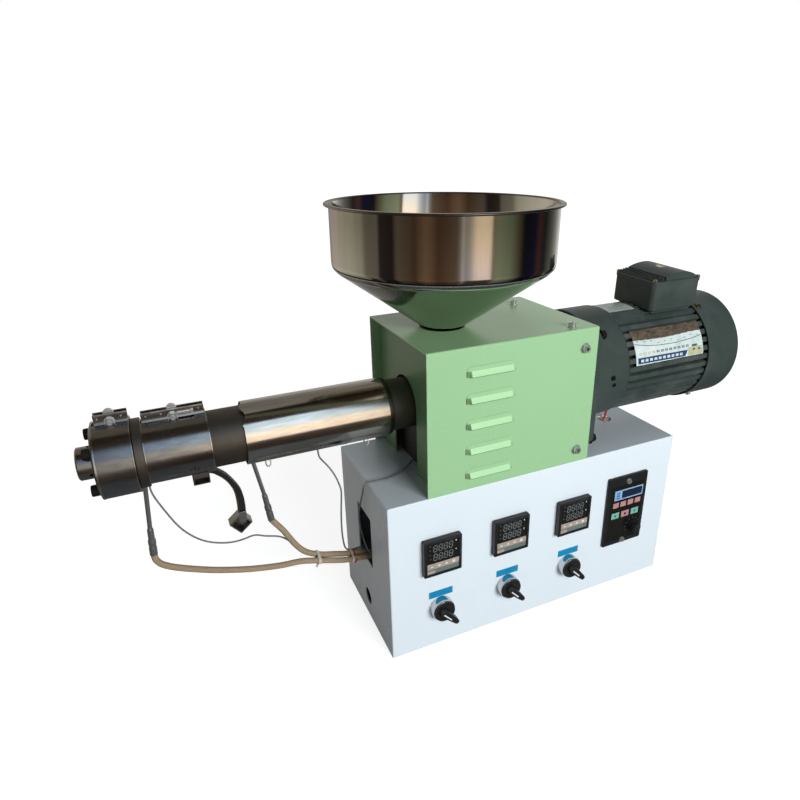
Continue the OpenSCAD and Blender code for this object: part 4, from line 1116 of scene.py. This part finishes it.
for a, b in zip(outer_side, inner_side):
    rows.append([strap.verts.new(Vector((p.x, y / 1000, p.z)))
                 for p, y in ((a, 0.6), (a, 8.4), (b, 8.4), (b, 2.2), (b.lerp(a, 0.22), 0.6))])
for a, b in zip(rows, rows[1:]):
    for k in range(5):
        side = strap.faces.new((a[k], a[(k + 1) % 5], b[(k + 1) % 5], b[k]))
        side.material_index = 1 if k in (2, 3) else 0
strap.faces.new(rows[0][::-1])
strap.faces.new(rows[-1])
prism([(-346.4, 199), (-338.1, 199), (-338.8, 187.2), (-340.5, 185.6), (-345.6, 186),
       (-346.8, 188)], -3.9, -2.3, "Y", 0.4, strap, 2)
saddle = carved(block((-9, -7, -9), (9, 7, 9), 0.8),
                block((-7.2, -8, -7.2), (7.2, 5, 7.2), 0.5))
block((-7.8, 0.5, -3.4), (7.8, 1.7, 3.4), 0.3, mesh=saddle)
joined(strap, moved(saddle, swung((-345.3, row_y, 183.5), 50, "Y")), 3)
part("hanging_strap", strap, [strap_steel, sheared, tail_steel, surface(
    "saddle_steel", (0.3, 0.3, 0.29), (0.2, 0.2, 0.195), rough=(0.3, 0.45), metal=0.9,
    patch=120, grain=1300, relief=0.12, edge=(0.6, 0.59, 0.57),
    hollow_tone=(0.03, 0.03, 0.03))], stands_for=["hanging_clamp"])

# ---- the feed head ----
# A black cast block under the hopper's neck with a round boss for its throat and a
# bearing housing behind, bolted down to the deck.
rough_cast = surface("black_casting", (0.009, 0.009, 0.01), (0.014, 0.014, 0.014),
    rough=(0.45, 0.62), patch=30, grain=700, relief=0.3, shine=0.4, edge=(0.1, 0.1, 0.1))
head = carved(
    block((-132.5, -33.5, 208), (-52.5, 42.5, 329), 2.0),
    disc(at_row(-140), along_x, screw_bore, 240), disc(at_row(hopper_x), to_top, 19, 100),
    disc(at_row(-127.5), (-1, 0, 0), barrel_round + 0.04, 20, 96))
lathe([(0, 19), (0, 31), (44, 31), (44, 25.7), (33, 25.7), (33, 19)], (hopper_x, row_y, 319),
      to_top, 96, soft=0.8, mesh=head)
lathe([(0, screw_bore), (0, 34), (101.5, 34), (101.5, screw_bore)], at_row(-52.5), along_x,
      96, soft=1.0, mesh=head)
part("feed_head", head, rough_cast, stands_for=["feed_housing"])
head_screw = item(cap_screw(4.2, 4.5, 6))
head_screws = row(head_screw, oxide, 2, (-122, -26, 329), (0, 61, 0), faces["top"])
ring(head_screw, oxide, 4, at_row(49), faces["right"], 45, 28, head_screws)
part("feed_head_screws", head_screws, oxide)

# ---- the bracket ----
# A thick plate of dark painted steel stands between the feed head and the gearbox; a
# frame round its edge takes the hood's screws.
dark_plate = surface("dark_plate", (0.05, 0.066, 0.055), (0.062, 0.078, 0.066),
    rough=(0.36, 0.5), patch=14, grain=900, relief=0.14, edge=(0.15, 0.16, 0.15))
bracket = carved(
    block((27, sheet - half_deep, deck), (61, half_deep - sheet, hood_top - sheet), 0.8),
    block((20, -66, 222.5), (49, 66, 360), 2.0), disc(at_row(40), along_x, 12, 40))
part("bracket", bracket, dark_plate, stands_for=["mount_plate"])

# ---- the gearbox ----
# A square dark flange with black socket screws at its corners and a smooth round case
# behind it, closed by small plugs.
def soften_rim(made, soft, segments, lies, sharp=1.0):
    """Rounds the sharp edges whose two ends both lie in a place."""
    rim = [e for e in made.edges if len(e.link_faces) == 2 and e.calc_face_angle() > sharp
           and all(lies(v.co) for v in e.verts)]
    softened(made, rim, soft, segments, clamp=False)


enamel = surface("motor_enamel", (0.044, 0.06, 0.055), (0.04, 0.055, 0.05), rough=(0.32, 0.42),
    patch=2.5, grain=1300, relief=0.1, shine=0.35, edge=(0.085, 0.1, 0.095))
flange = carved(
    block((61, -70.5, 214), (79.5, 79.5, 364), 15, 8, "X"),
    disc(at_row(55), along_x, screw_bore, 17.4))
soften_rim(flange, 1.2, 2, lambda p: p.x > 0.079, 1.2)
part("gearbox_flange", flange, enamel, stands_for=["gear_flange"])
corner = item(cap_screw(5.6, 6.8, 7.4, key=2.8))
bolts = bmesh.new()
for y in (-62, 71):
    row(corner, oxide, 2, (79.3, y, 222.5), (0, 0, 134.5), faces["right"], bolts)
part("gearbox_screws", bolts, oxide)
motor_z = 299.5


def at_motor(x):
    """A place on the motor's axis."""
    return x, row_y, motor_z


part("gearbox_case", lathe(
    [(0, 0), (0, 70.6), (1.0, 72), (46.5, 72), (49.4, 71), (50.5, 69.6), (50.5, 0)],
    at_motor(79.5), along_x, 128), enamel,
    stands_for=["gear_case"])
plugs = bmesh.new()
for x, a, r in ((103, 1, 2.6), (106, -6.5, 1.8)):
    lathe([(0, 0), (0, r + 1), (0.7, r + 0.8), (0.7, r), (2.0, r), (2.2, r - 0.4),
        (2.2, r * 0.5), (1.0, r * 0.45), (1.0, 0)], *spoke(x, a, 71.6, motor_z), 24, mesh=plugs)
part("gearbox_plugs", plugs, oxide)

# ---- the motor's ribs ----
# An aluminium body under dark grey enamel: forty cooling ribs run its length, with a
# smooth pad on top for the rating label and the terminal box.
crest, motor_start = 70, 130
core = lathe([(0, 0), (0, 64), (142, 64), (142, 0)], at_motor(motor_start), along_x, 128,
             tint=1)
rib_side = [(62.5, -3.9), (69.2, -3.4), (crest, -3.0), (crest, 3.0), (69.2, 3.4), (62.5, 3.9)]
rib = item(prism(rib_side, 0.2, 141.5, "Z", 0.5))
ribs = ring(rib, enamel, 40, at_motor(motor_start), faces["right"], 4.5, mesh=core)
pad = [(0, 0)]
pad += [(crest * cos(radians(a)), crest * sin(radians(a))) for a in range(121, 58, -3)]
prism([(row_y + y, motor_z + z) for y, z in pad], motor_start, 178, "X", 0.0, ribs)
for a in (45, 135, 225, 315):
    joined(ribs, moved(block((262, 60, -5), (271.5, 70.9, 5), 1.0),
                       swung(at_motor(0), a, "X")))
# The core between the ribs is painted near black: painted shade in the grooves.
part("motor_ribs", ribs, [enamel, surface(
    "rib_root_painted_shade", (0.012, 0.015, 0.014), (0.018, 0.022, 0.02), rough=(0.6, 0.8), patch=14,
    grain=900, relief=0.1, shine=0.15)], stands_for=["motor_body"],
     angle=30)

# ---- the motor's labels ----
# A silvery rating label on the pad and a broad printed one wrapped over the front ribs,
# both bare of words: a brown panel flecked with painted glints, a silver one with a thin wave,
# a blue band.
foil = surface("label_foil", (0.52, 0.57, 0.53), (0.40, 0.46, 0.42), rough=(0.25, 0.4),
    metal=0.2, patch=150, grain=500, relief=0.08)
pale_print = surface("label_pale", (0.50, 0.60, 0.58), (0.68, 0.76, 0.74), rough=(0.25, 0.35),
    patch=90, grain=420, relief=0.06, coat=0.2)
# The brown panel's light flecks are painted glints on the print.
brown_print_painted_glints = surface("label_brown_painted_glints", (0.045, 0.036, 0.026), (0.16, 0.12, 0.085),
    rough=(0.3, 0.45), patch=260, grain=700, relief=0.1, coat=0.2, stretch=(0.45, 1, 1))
blue_print = surface("label_blue", (0.012, 0.04, 0.125), (0.02, 0.06, 0.17), rough=(0.25, 0.35),
    patch=60, grain=900, relief=0.04, coat=0.2)
dark_print = surface("label_ink", (0.05, 0.075, 0.075), (0.12, 0.14, 0.13), rough=(0.3, 0.4),
    patch=90, grain=900, relief=0.04)
straw_print = surface("label_straw", (0.42, 0.42, 0.24), (0.52, 0.53, 0.36), rough=(0.3, 0.4),
    patch=120, grain=500, relief=0.04)


def wrapped(x0, x1, a0, a1, tint, mesh, up=0.1, slant=0.0, rise=0.0, steps=2):
    """A patch laid on the motor between two angles above the front, its right end
    leaning by slant and lifted by rise, standing up over the ribs' crests."""
    rows = []
    for k in range(steps + 1):
        corners, end = [], x1 + slant * k / steps
        for x, r, lift in ((x0, crest - 0.1, 0), (x0, crest + up, 0), (end, crest + up, rise),
                           (end, crest - 0.1, rise)):
            a = radians(a0 + (a1 - a0) * k / steps + lift)
            corners.append(mesh.verts.new(mm(x, row_y - r * cos(a), motor_z + r * sin(a))))
        rows.append(corners)
    skinned(mesh, rows, tint, capped=True)


label = bmesh.new()
wrapped(140.5, 252, 8, 44.5, 1, label, steps=18)
sag = [1.4 * sin(pi * min(1.0, k / 8)) for k in range(11)]
for k in range(10):
    x = 140.5 + 11.15 * k
    wrapped(x, x + 11.15, 33.8 - sag[k], 44.5, 2, label, 0.16, steps=6)
wave = (30.2, 28.0, 26.6, 25.7, 25.2, 25.0, 25.0, 25.3, 26.0, 27.0, 28.4)
for k in range(10):
    x = 142 + 10.9 * k
    wrapped(x, x + 10.9, wave[k] - 0.35, wave[k] + 0.35, 4, label, 0.16,
            rise=wave[k + 1] - wave[k])
    wrapped(x + 3, x + 6.5, wave[k] + 2.2 + k % 3, wave[k] + 2.7 + k % 3, 4, label, 0.16)
wrapped(226, 251, 8.6, 17.5, 5, label, 0.14, steps=5)
wrapped(143.5, 221, 9.4, 15.6, 3, label, 0.2, slant=4.5, rise=-0.7, steps=4)
for k in range(12):
    wrapped(146 + 7 * k, 150.4 + 7 * k, 18.2, 20.5, 5 if k < 4 else 4, label, 0.16)
    wrapped(147.4 + 7 * k, 149 + 7 * k, 18.9, 19.8, 1, label, 0.2)
for k in range(10):
    wrapped(148 + 7.1 * k, 152.6 + 7.1 * k, 11.0 - 0.06 * k, 13.7 - 0.06 * k, 1, label, 0.26)
for x, wide, a in ((233, 9, 17.6), (234, 4, 13.6), (243, 4, 13.2)):
    wrapped(x, x + wide, a, a + 2.2, 4, label, 0.2)
wrapped(133, 174, 74, 103, 0, label, steps=12)
for k in range(7):
    wrapped(137, 168 - 4 * (k % 2), 77.5 + 3.4 * k, 78.1 + 3.4 * k, 4, label, 0.14)
for x, a in ((135, 76), (135, 101), (172, 76), (172, 101)):
    lathe([(0, 0), (0, 1.1), (0.5, 0.9), (0.7, 0)], *spoke(x, a, crest + 0.1, motor_z), 12,
          mesh=label)
part("motor_labels", label, [foil, pale_print, brown_print_painted_glints, blue_print, dark_print,
                             straw_print], angle=30)

# ---- the fan cowl ----
# A pressed steel cup over the fan with a rounded back edge and eight air slots, held by
# yellow and bright screws in its front rim.
cup = [(0, 71.1), (0, 72.5), (50, 72.5)]
cup += [(50 + 8 * sin(radians(a)), 64.5 + 8 * cos(radians(a))) for a in range(10, 91, 10)]
cup += [(58, 6), (56.5, 6), (56.5, 64.5)]
cup += [(50 + 6.5 * sin(radians(a)), 64.5 + 6.6 * cos(radians(a))) for a in range(80, 0, -10)]
cowl = carved(lathe(cup, at_motor(260), along_x, 128), *[
    moved(block((46, 24, -4), (66, 55, 4), 3.9, 4, "X"),
          swung(at_motor(260), 45 * k, "X")) for k in range(8)])
lathe([(56.4, 0), (56.4, 6.3), (58.0, 6.3), (58.0, 0)], at_motor(260), along_x, 48, mesh=cowl)
part("cowl", cowl, enamel, stands_for=["fan_cowl"])
fan = lathe([(0, 0), (0, 12), (14, 12), (14, 0)], at_motor(276), along_x, 32)
blade = item(block((11, -0.8, 0), (60, 0.8, 22), 0.5))
ring(blade, rough_cast, 9, at_motor(276), faces["right"], degrees(0.2), mesh=fan)
part("cooling_fan", fan, rough_cast)
brass = surface("yellow_zinc", (0.62, 0.48, 0.22), (0.50, 0.40, 0.2), rough=(0.25, 0.4),
    metal=1, patch=200, grain=2200, relief=0.08, hollow_tone=(0.1, 0.08, 0.04))
gold = bmesh.new()
for a, tint in ((60, 0), (128, 0), (232, 1), (-54, 1)):
    lathe([(0, 0), (0, 4.2), (0.8, 4.2), (0.8, 3.2), (2.8, 3.1), (3.2, 2.4), (3.2, 1.4),
           (1.8, 1.2), (1.8, 0)], *spoke(267.5, a, 72.1, motor_z), 20, mesh=gold,
          tint=tint)
part("cowl_screws", gold, [brass, zinc])

# ---- the terminal box ----
# A cast box on a narrower neck saddled to the motor, leaning a little to the front; its
# lid has a low vault with four stepped ribs beside it and a yellow screw at each corner.
lean = swung(at_motor(0), 2.2, "X") @ Matrix.Translation(-mm(*at_motor(0)))
saddle_cuts = [disc(at_motor(170), along_x, crest, 90, 96),
               disc(at_motor(259.7), along_x, 72.8, 40, 96)]
shell = block((182.5, -32, 366.5), (261.5, 41, 400.5), 7.5, 6, "Z")
soften_rim(shell, 2.2, 4, lambda p: p.z < 0.3666)
shell = carved(shell, *saddle_cuts)
joined(shell, carved(block((188.5, -26, 352.5), (255.5, 35, 370), 5, 5, "Z"),
                      disc(at_motor(170), along_x, crest, 90, 96)))
part("box", moved(shell, lean), enamel, stands_for=["terminal_box"])
lid = block((181.8, -32.7, 400.5), (262.2, 41.7, 405), 8, 6, "Z")
soften_rim(lid, 1.1, 2, lambda p: p.z > 0.4045)
vault = [(229.5 - 27 * k / 6, 414.4 - 5 * (k / 6) ** 2) for k in range(6, 0, -1)]
vault += [(229.5 + 46.25 * sin(radians(a)), 368.25 + 46.25 * cos(radians(a)))
          for a in range(0, 37, 4)]
prism([(202.5, 403)] + vault + [(257.4, 403)], -30, 39, "Y", 0.6, lid)
slat = item(block((-0.8, -34.5, -7), (0.8, 34.5, 0), 0.4))
row(slat, enamel, 4, (186.3, row_y, 406.6), (4.0, 0, 0.8), mesh=lid)
part("box_lid", moved(lid, lean), enamel, stands_for=["terminal_box_lid"])
lid_screw = item(cap_screw(2.6, 1.6, 3.2, key=1.2))
corners = bmesh.new()
for y in (-28.6, 37.6):
    row(lid_screw, brass, 2, (186.2, y, 404.9), (71.6, 0, 0), faces["top"], corners)
part("box_screws", moved(corners, lean), brass)
sticker = surface("yellow_sticker", (0.62, 0.5, 0.22), (0.5, 0.38, 0.16), rough=(0.3, 0.45),
    patch=150, grain=900, relief=0.05)
paper = surface("sticker_pale", (0.75, 0.72, 0.6), (0.66, 0.63, 0.52), rough=(0.3, 0.45),
    patch=150, grain=900, relief=0.05)
label_patch = block((219.5, 0.5, 414.3), (229.5, 14.5, 414.75), 0.1)
block((221.5, 2.5, 414.4), (226.5, 9.5, 414.85), 0.1, mesh=label_patch, tint=1)
for v in label_patch.verts:
    v.co.z -= 0.04625 - (0.04625 ** 2 - (v.co.x - 0.2295) ** 2) ** 0.5
part("box_sticker", moved(label_patch, lean), [sticker, paper])

# ---- the temperature controllers ----
# Three square black instruments clipped into the face: a bevelled frame, a dark window
# with two rows of unlit digits, and a strip of four keys under it.
moulded = surface("black_moulding", (0.010, 0.0105, 0.0115), (0.014, 0.0145, 0.016),
    rough=(0.32, 0.45), patch=40, grain=1600, relief=0.1, shine=0.4, edge=(0.04, 0.043, 0.047))
window_black = surface("window_black", (0.005, 0.0052, 0.006), (0.008, 0.0083, 0.0092),
    rough=(0.12, 0.2), patch=30, grain=1400, relief=0.02, coat=0.5)
unlit = surface("unlit_digits", (0.16, 0.17, 0.17), (0.11, 0.12, 0.12), rough=(0.3, 0.4),
    patch=200, grain=1500, relief=0.03)
key_tan = surface("key_strip", (0.44, 0.36, 0.29), (0.36, 0.29, 0.24), rough=(0.4, 0.55),
    patch=120, grain=1400, relief=0.06)
key_green = surface("key_strip_green", (0.12, 0.16, 0.145), (0.16, 0.2, 0.185),
    rough=(0.4, 0.55), patch=120, grain=1400, relief=0.06)
white_ink = surface("white_ink", (0.75, 0.76, 0.76), (0.68, 0.69, 0.69), rough=(0.4, 0.5),
    patch=150, grain=1500, relief=0.03)
glass_front = [moulded, window_black, unlit, key_tan, key_green, white_ink]


def plate_at(x0, x1, z0, z1, y, thick, soft, mesh, tint):
    """A thin plate on the control face, its front at y - thick."""
    return block((x0, y - thick, z0), (x1, y, z1), soft, 2, mesh=mesh, tint=tint)


def digit():
    """A seven-bar numeral 5.2 wide and 9.4 tall, all bars alike, facing -Y."""
    made = bmesh.new()
    for x, z, wide, tall in [(0, z, 3.4, 1.1) for z in (8.9, 4.7, 0.5)] + [
            (x, z, 1.15, 3.1) for z in (6.8, 2.6) for x in (-2.1, 2.1)]:
        block((x - wide / 2 + z * 0.08, -0.12, z - tall / 2),
              (x + wide / 2 + z * 0.08, 0, z + tall / 2), mesh=made)
    return made


def dot(place, radius, high, mesh, tint, steps=12):
    """A round spot printed on a control."""
    lathe([(0, 0), (0, radius), (high, radius - 0.1), (high, 0)], place, to_front, steps,
        mesh=mesh, tint=tint)


numeral = item(digit())
controls = bmesh.new()
for x in stations:
    body = carved(
        block((x - 24, -90.5, 108.5), (x + 24, -half_deep, 156.5), 1.1),
        block((x - 20.5, -92, 112.2), (x + 20.5, -89.2, 153), 0.9))
    joined(controls, body, 0)
    block((x - 21.8, -83.5, 110.7), (x + 21.8, -11.5, 154.3), 0.8, mesh=controls)
    plate_at(x - 20.4, x + 20.4, 112.3, 152.9, -89.2, 0.15, 0.0, controls, 1)
    for k in range(2):
        row(numeral, unlit, 4, (x - 10.2, -89.38, 141.2 - 11.8 * k), (6.6, 0, 0),
            mesh=controls, tint=2)
        for z in (150.2, 144.4):
            dot((x - 16.2, -89.34, z - 11.8 * k), 0.7, 0.15, controls, 2)
    for z in (149.8, 137.8):
        dot((x + 16.6, -89.34, z), 0.8, 0.15, controls, 5)
    plate_at(x - 20.4, x + 20.4, 118.4, 126.0, -89.3, 0.3, 0.2, controls, 3)
    plate_at(x - 20.4, x + 20.4, 112.3, 118.2, -89.3, 0.3, 0.2, controls, 4)
    plate_at(x - 20.2, x - 10.4, 112.5, 116.6, -89.55, 0.2, 0.0, controls, 3)
    for k, tall in enumerate((1.9, 2.5, 2.5, 2.5)):
        spot = x - 14.4 + 9.3 * k
        outline = [(spot - 2.2, 121.2), (spot + 2.2, 121.2), (spot + 0.2, 121.2 + tall)]
        if k == 3:
            outline = [(spot - 1.6, 120.4), (spot + 1.6, 120.4), (spot + 1.6, 123.9),
                       (spot - 1.6, 123.9)]
        prism(outline, -89.85, -89.55, "Y", 0.0, controls, 5)
part("controllers", controls, glass_front,
     stands_for=["controller_1", "controller_2", "controller_3"])

# ---- the blue labels ----
# A strip of blue tape stuck above each switch, bare, its ends a little uneven.
blue_tape = surface("blue_tape", (0.004, 0.27, 0.50), (0.003, 0.23, 0.44), rough=(0.3, 0.42),
    patch=80, grain=1300, relief=0.06, coat=0.1)
tapes = bmesh.new()
for x, askew in zip(stations, (0.0, 0.004, -0.006)):
    strip = plate_at(x - 15.5, x + 15.7, 70.4, 79.8, -82.45, 0.22, 0.0, None, 0)
    bmesh.ops.rotate(strip, verts=strip.verts, cent=mm(x, -82, 75),
                     matrix=Matrix.Rotation(askew, 3, "Y"))
    joined(tapes, strip, 0)
part("blue_labels", tapes, blue_tape)

# ---- the switches' bezels ----
# Polished rings screwed over each switch's threaded stem, with the contact block behind.
chrome = surface("bezel_chrome", (0.66, 0.66, 0.67), (0.6, 0.6, 0.61), rough=(0.1, 0.18),
    metal=1, patch=70, grain=1800, relief=0.04, hollow_tone=(0.2, 0.2, 0.2))
bezels = bmesh.new()
for x in stations:
    lathe([(0, 4.3), (0, 14.3), (8.6, 14.3), (10.4, 13.9), (11, 13.2), (11, 4.3)],
          (x, -half_deep, 56), to_front, 96, soft=0.5, mesh=bezels)
    lathe([(-2, 4.3), (-2, 11.1), (12, 11.1), (12, 4.3)], (x, -half_deep, 56), to_back, 48,
          mesh=bezels)
    lathe([(1.5, 11), (1.5, 14), (4.5, 14), (4.5, 11)], (x, -half_deep, 56), to_back, 6,
          mesh=bezels)
    block((x - 15, -70.5, 42), (x + 15, -32.5, 70), 1.2, mesh=bezels, tint=1)
part("switch_bezels", bezels, [chrome, moulded],
     stands_for=["selector_bezels"])

# ---- the switches' knobs ----
# Black moulded knobs: a thin round cap, and a lever that tapers to a rounded end, with a
# white index line let into its face. Each turns on its own stem.
for number, x in enumerate(stations, 1):
    knob = lathe([(0, 0), (0, 12.7), (0.3, 12.9), (1.3, 12.9), (1.7, 12.5), (1.7, 0)],
                 (x, -93.8, 56), to_front, 96)
    lathe([(-21, 0), (-21, 4), (0.5, 4), (0.5, 0)], (x, -93.8, 56), to_front, 32, mesh=knob)
    side = [(-9.6, 0), (-8.6, -3.0), (-4, -4.4), (4, -4.4), (14, -3.6), (18.4, -3.0),
            (20, -1.8), (20.5, 0), (20, 1.8), (18.4, 3.0), (14, 3.6), (4, 4.4), (-4, 4.4),
            (-8.6, 3.0)]
    lever = prism(eased(side, 1.2, 2), -103.3, -94.3, "Y", 1.2)
    index = block((-6.4, -103.42, -1.95), (8, -102.9, -0.45))
    for tint, made in enumerate((lever, index)):
        joined(knob, moved(made, swung((x, 0, 56), 47, "Y")), tint)
    part(f"switch_knob_{number}", knob, [moulded, white_ink],
         body=f"selector_knob_{number}",
         stands_for=[f"selector_knob_{number}"])

# ---- the speed controller ----
# A black plate held by two screws: a pale-blue display frame, a row of four pink keys,
# a row of three keys, and a knob with a ring of pale ticks round it.
display_blue = surface("display_frame", (0.3, 0.48, 0.66), (0.24, 0.42, 0.62),
    rough=(0.25, 0.35), patch=90, grain=1200, relief=0.03, coat=0.3)
deep_blue = surface("display_dark", (0.006, 0.014, 0.045), (0.01, 0.02, 0.06),
    rough=(0.12, 0.2), patch=60, grain=1300, relief=0.02, coat=0.5)
mid_blue = surface("display_bars", (0.02, 0.12, 0.4), (0.03, 0.16, 0.46), rough=(0.2, 0.3),
    patch=60, grain=1300, relief=0.02)
key_pink = surface("key_pink", (0.46, 0.2, 0.22), (0.52, 0.27, 0.28), rough=(0.3, 0.45),
    patch=160, grain=1300, relief=0.04)
key_mint = surface("key_mint", (0.16, 0.42, 0.3), (0.22, 0.48, 0.36), rough=(0.3, 0.45),
    patch=160, grain=1300, relief=0.04)
tick_grey = surface("tick_grey", (0.07, 0.072, 0.075), (0.05, 0.052, 0.055), rough=(0.4, 0.5),
    patch=160, grain=1300, relief=0.03)
plate = carved(
    block((99, -86, 64.75), (163, -half_deep, 168.25), 2.2, 4, "Y"),
    disc((146, -90, 88.5), to_back, 3.1, 10, 32))
soften_rim(plate, 0.9, 3, lambda p: p.y < -0.0859
           and (p - mm(146, -86, 88.5)).length > 0.006)
block((102.5, -83, 81), (159.5, -37.5, 164), 1.0, mesh=plate)
front = -86.0
plate_at(104.6, 157.6, 71.5, 155.5, front + 0.02, 0.12, 0.0, plate, 7)
plate_at(110.5, 157.0, 134.2, 148.9, front - 0.08, 0.3, 0.2, plate, 1)
plate_at(122.2, 155.4, 136.0, 147.2, front - 0.36, 0.1, 0.0, plate, 2)
for k in range(3):
    plate_at(113.2, 119.2, 136.4 + 3.6 * k, 138.6 + 3.6 * k, front - 0.36, 0.1, 0.0, plate, 3)
for k in range(4):
    plate_at(109.4 + 12.0 * k, 118.6 + 12.0 * k, 123.2, 130.8, front - 0.08, 0.6, 0.4, plate, 4)
for k, tint in enumerate((5, 4, 5)):
    x0 = 108.4 + 16.2 * k
    plate_at(x0, x0 + 12.4, 106.6, 115.6, front - 0.08, 0.7, 0.5, plate, tint)
    dot((x0 + 6.2, front - 0.76, 111), 1.9, 0.12, plate, 3 if tint == 5 else 2, 20)
for k in range(9):
    tick = block((-0.45, front - 0.2, 10.1), (0.45, front - 0.05, 12.7))
    joined(plate, moved(tick, swung((146, 0, 88.5), -120 + 30 * k, "Y")), 6)
part("speed_plate", plate, [moulded, display_blue, deep_blue, mid_blue, key_pink, key_mint,
                            tick_grey, window_black],
     stands_for=["speed_panel"])
panel_screw = item(cap_screw(3.3, 1.8, 3.9, key=1.4))
pair = row(panel_screw, zinc, 2, (131, -86, 69.6), (0, 0, 90.2), faces["front"])
part("speed_plate_screws", pair, zinc)
dial = lathe([(-19.5, 0), (-19.5, 2.95), (-0.5, 2.95), (-0.5, 7.7), (2.0, 7.7), (3.0, 6.9),
              (9.0, 6.4), (10.0, 5.6), (10.0, 0)], (146, -86.5, 88.5), to_front, 72)
grip = item(block((6.2, -0.45, 3.2), (7.3, 0.45, 9.2), 0.3))
ring(grip, moulded, 20, (146, -86.5, 88.5), faces["front"], 0, mesh=dial)
block((145.5, -96.75, 90), (146.5, -96.3, 94), 0.0, mesh=dial, tint=1)
part("speed_dial", dial, [moulded, tick_grey], body="speed_knob",
     stands_for=["speed_knob"])

# ---- the mains inlet ----
# A black three-pin inlet let into the cabinet's back, held by two screws.
inlet = carved(block((133, half_deep, 23), (167, 85.5, 49), 3.5, 4, "Y"),
               block((139, 70, 29), (161, 90, 43), 2.5, 3, "Y"))
well = carved(block((136.8, 58.5, 26.8), (163.2, 82.6, 45.2), 0.6),
              block((139, 68.5, 29), (161, 90, 43)))
joined(inlet, well)
pin = item(block((-1, -12, -2), (1, 0, 2), 0.3))
row(pin, zinc, 3, (144, 79, 36), (6, 0, 0), mesh=inlet, tint=1)
for x in (135.8, 164.2):
    lathe([(0, 0), (0, 1.7), (0.6, 1.2), (0.7, 0)], (x, 85.4, 36), to_back, 20, mesh=inlet,
        tint=1)
part("inlet", inlet, [moulded, zinc], stands_for=["mains_inlet"])

# ---- the terminals inside ----
# Pale screw-terminal blocks: one strip stands inside the left end where the sleeves and
# wires come in, a second hangs under the deck where the motor's leads drop through.
pale_plastic = surface("terminal_plastic", (0.62, 0.57, 0.48), (0.54, 0.5, 0.42),
    rough=(0.4, 0.55), patch=60, grain=1300, relief=0.1, hollow_tone=(0.2, 0.18, 0.15))
terminals = block((-192, -32, 1.5), (-158, 32, 50), 1.5)
block((138, -14, 168), (175, 14, 206.5), 1.5, mesh=terminals)
barrier = item(block((-17.5, -0.8, 0), (17.5, 0.8, 3), 0.3))
row(barrier, pale_plastic, 7, (-175, -30, 48.5), (0, 10, 0), mesh=terminals)
clamp_screw = item(cap_screw(2.8, 1.4, key=1.2))
row(clamp_screw, zinc, 6, (-184, -25, 50), (0, 10, 0), faces["top"], terminals, 1)
part("terminal_blocks", terminals, [pale_plastic, zinc],
     stands_for=["terminal_strip", "motor_terminal"])

# ---- the loose items put away ----
# The loose items that the node trees repeated are put away.
for thing in items:
    bpy.data.objects.remove(thing)
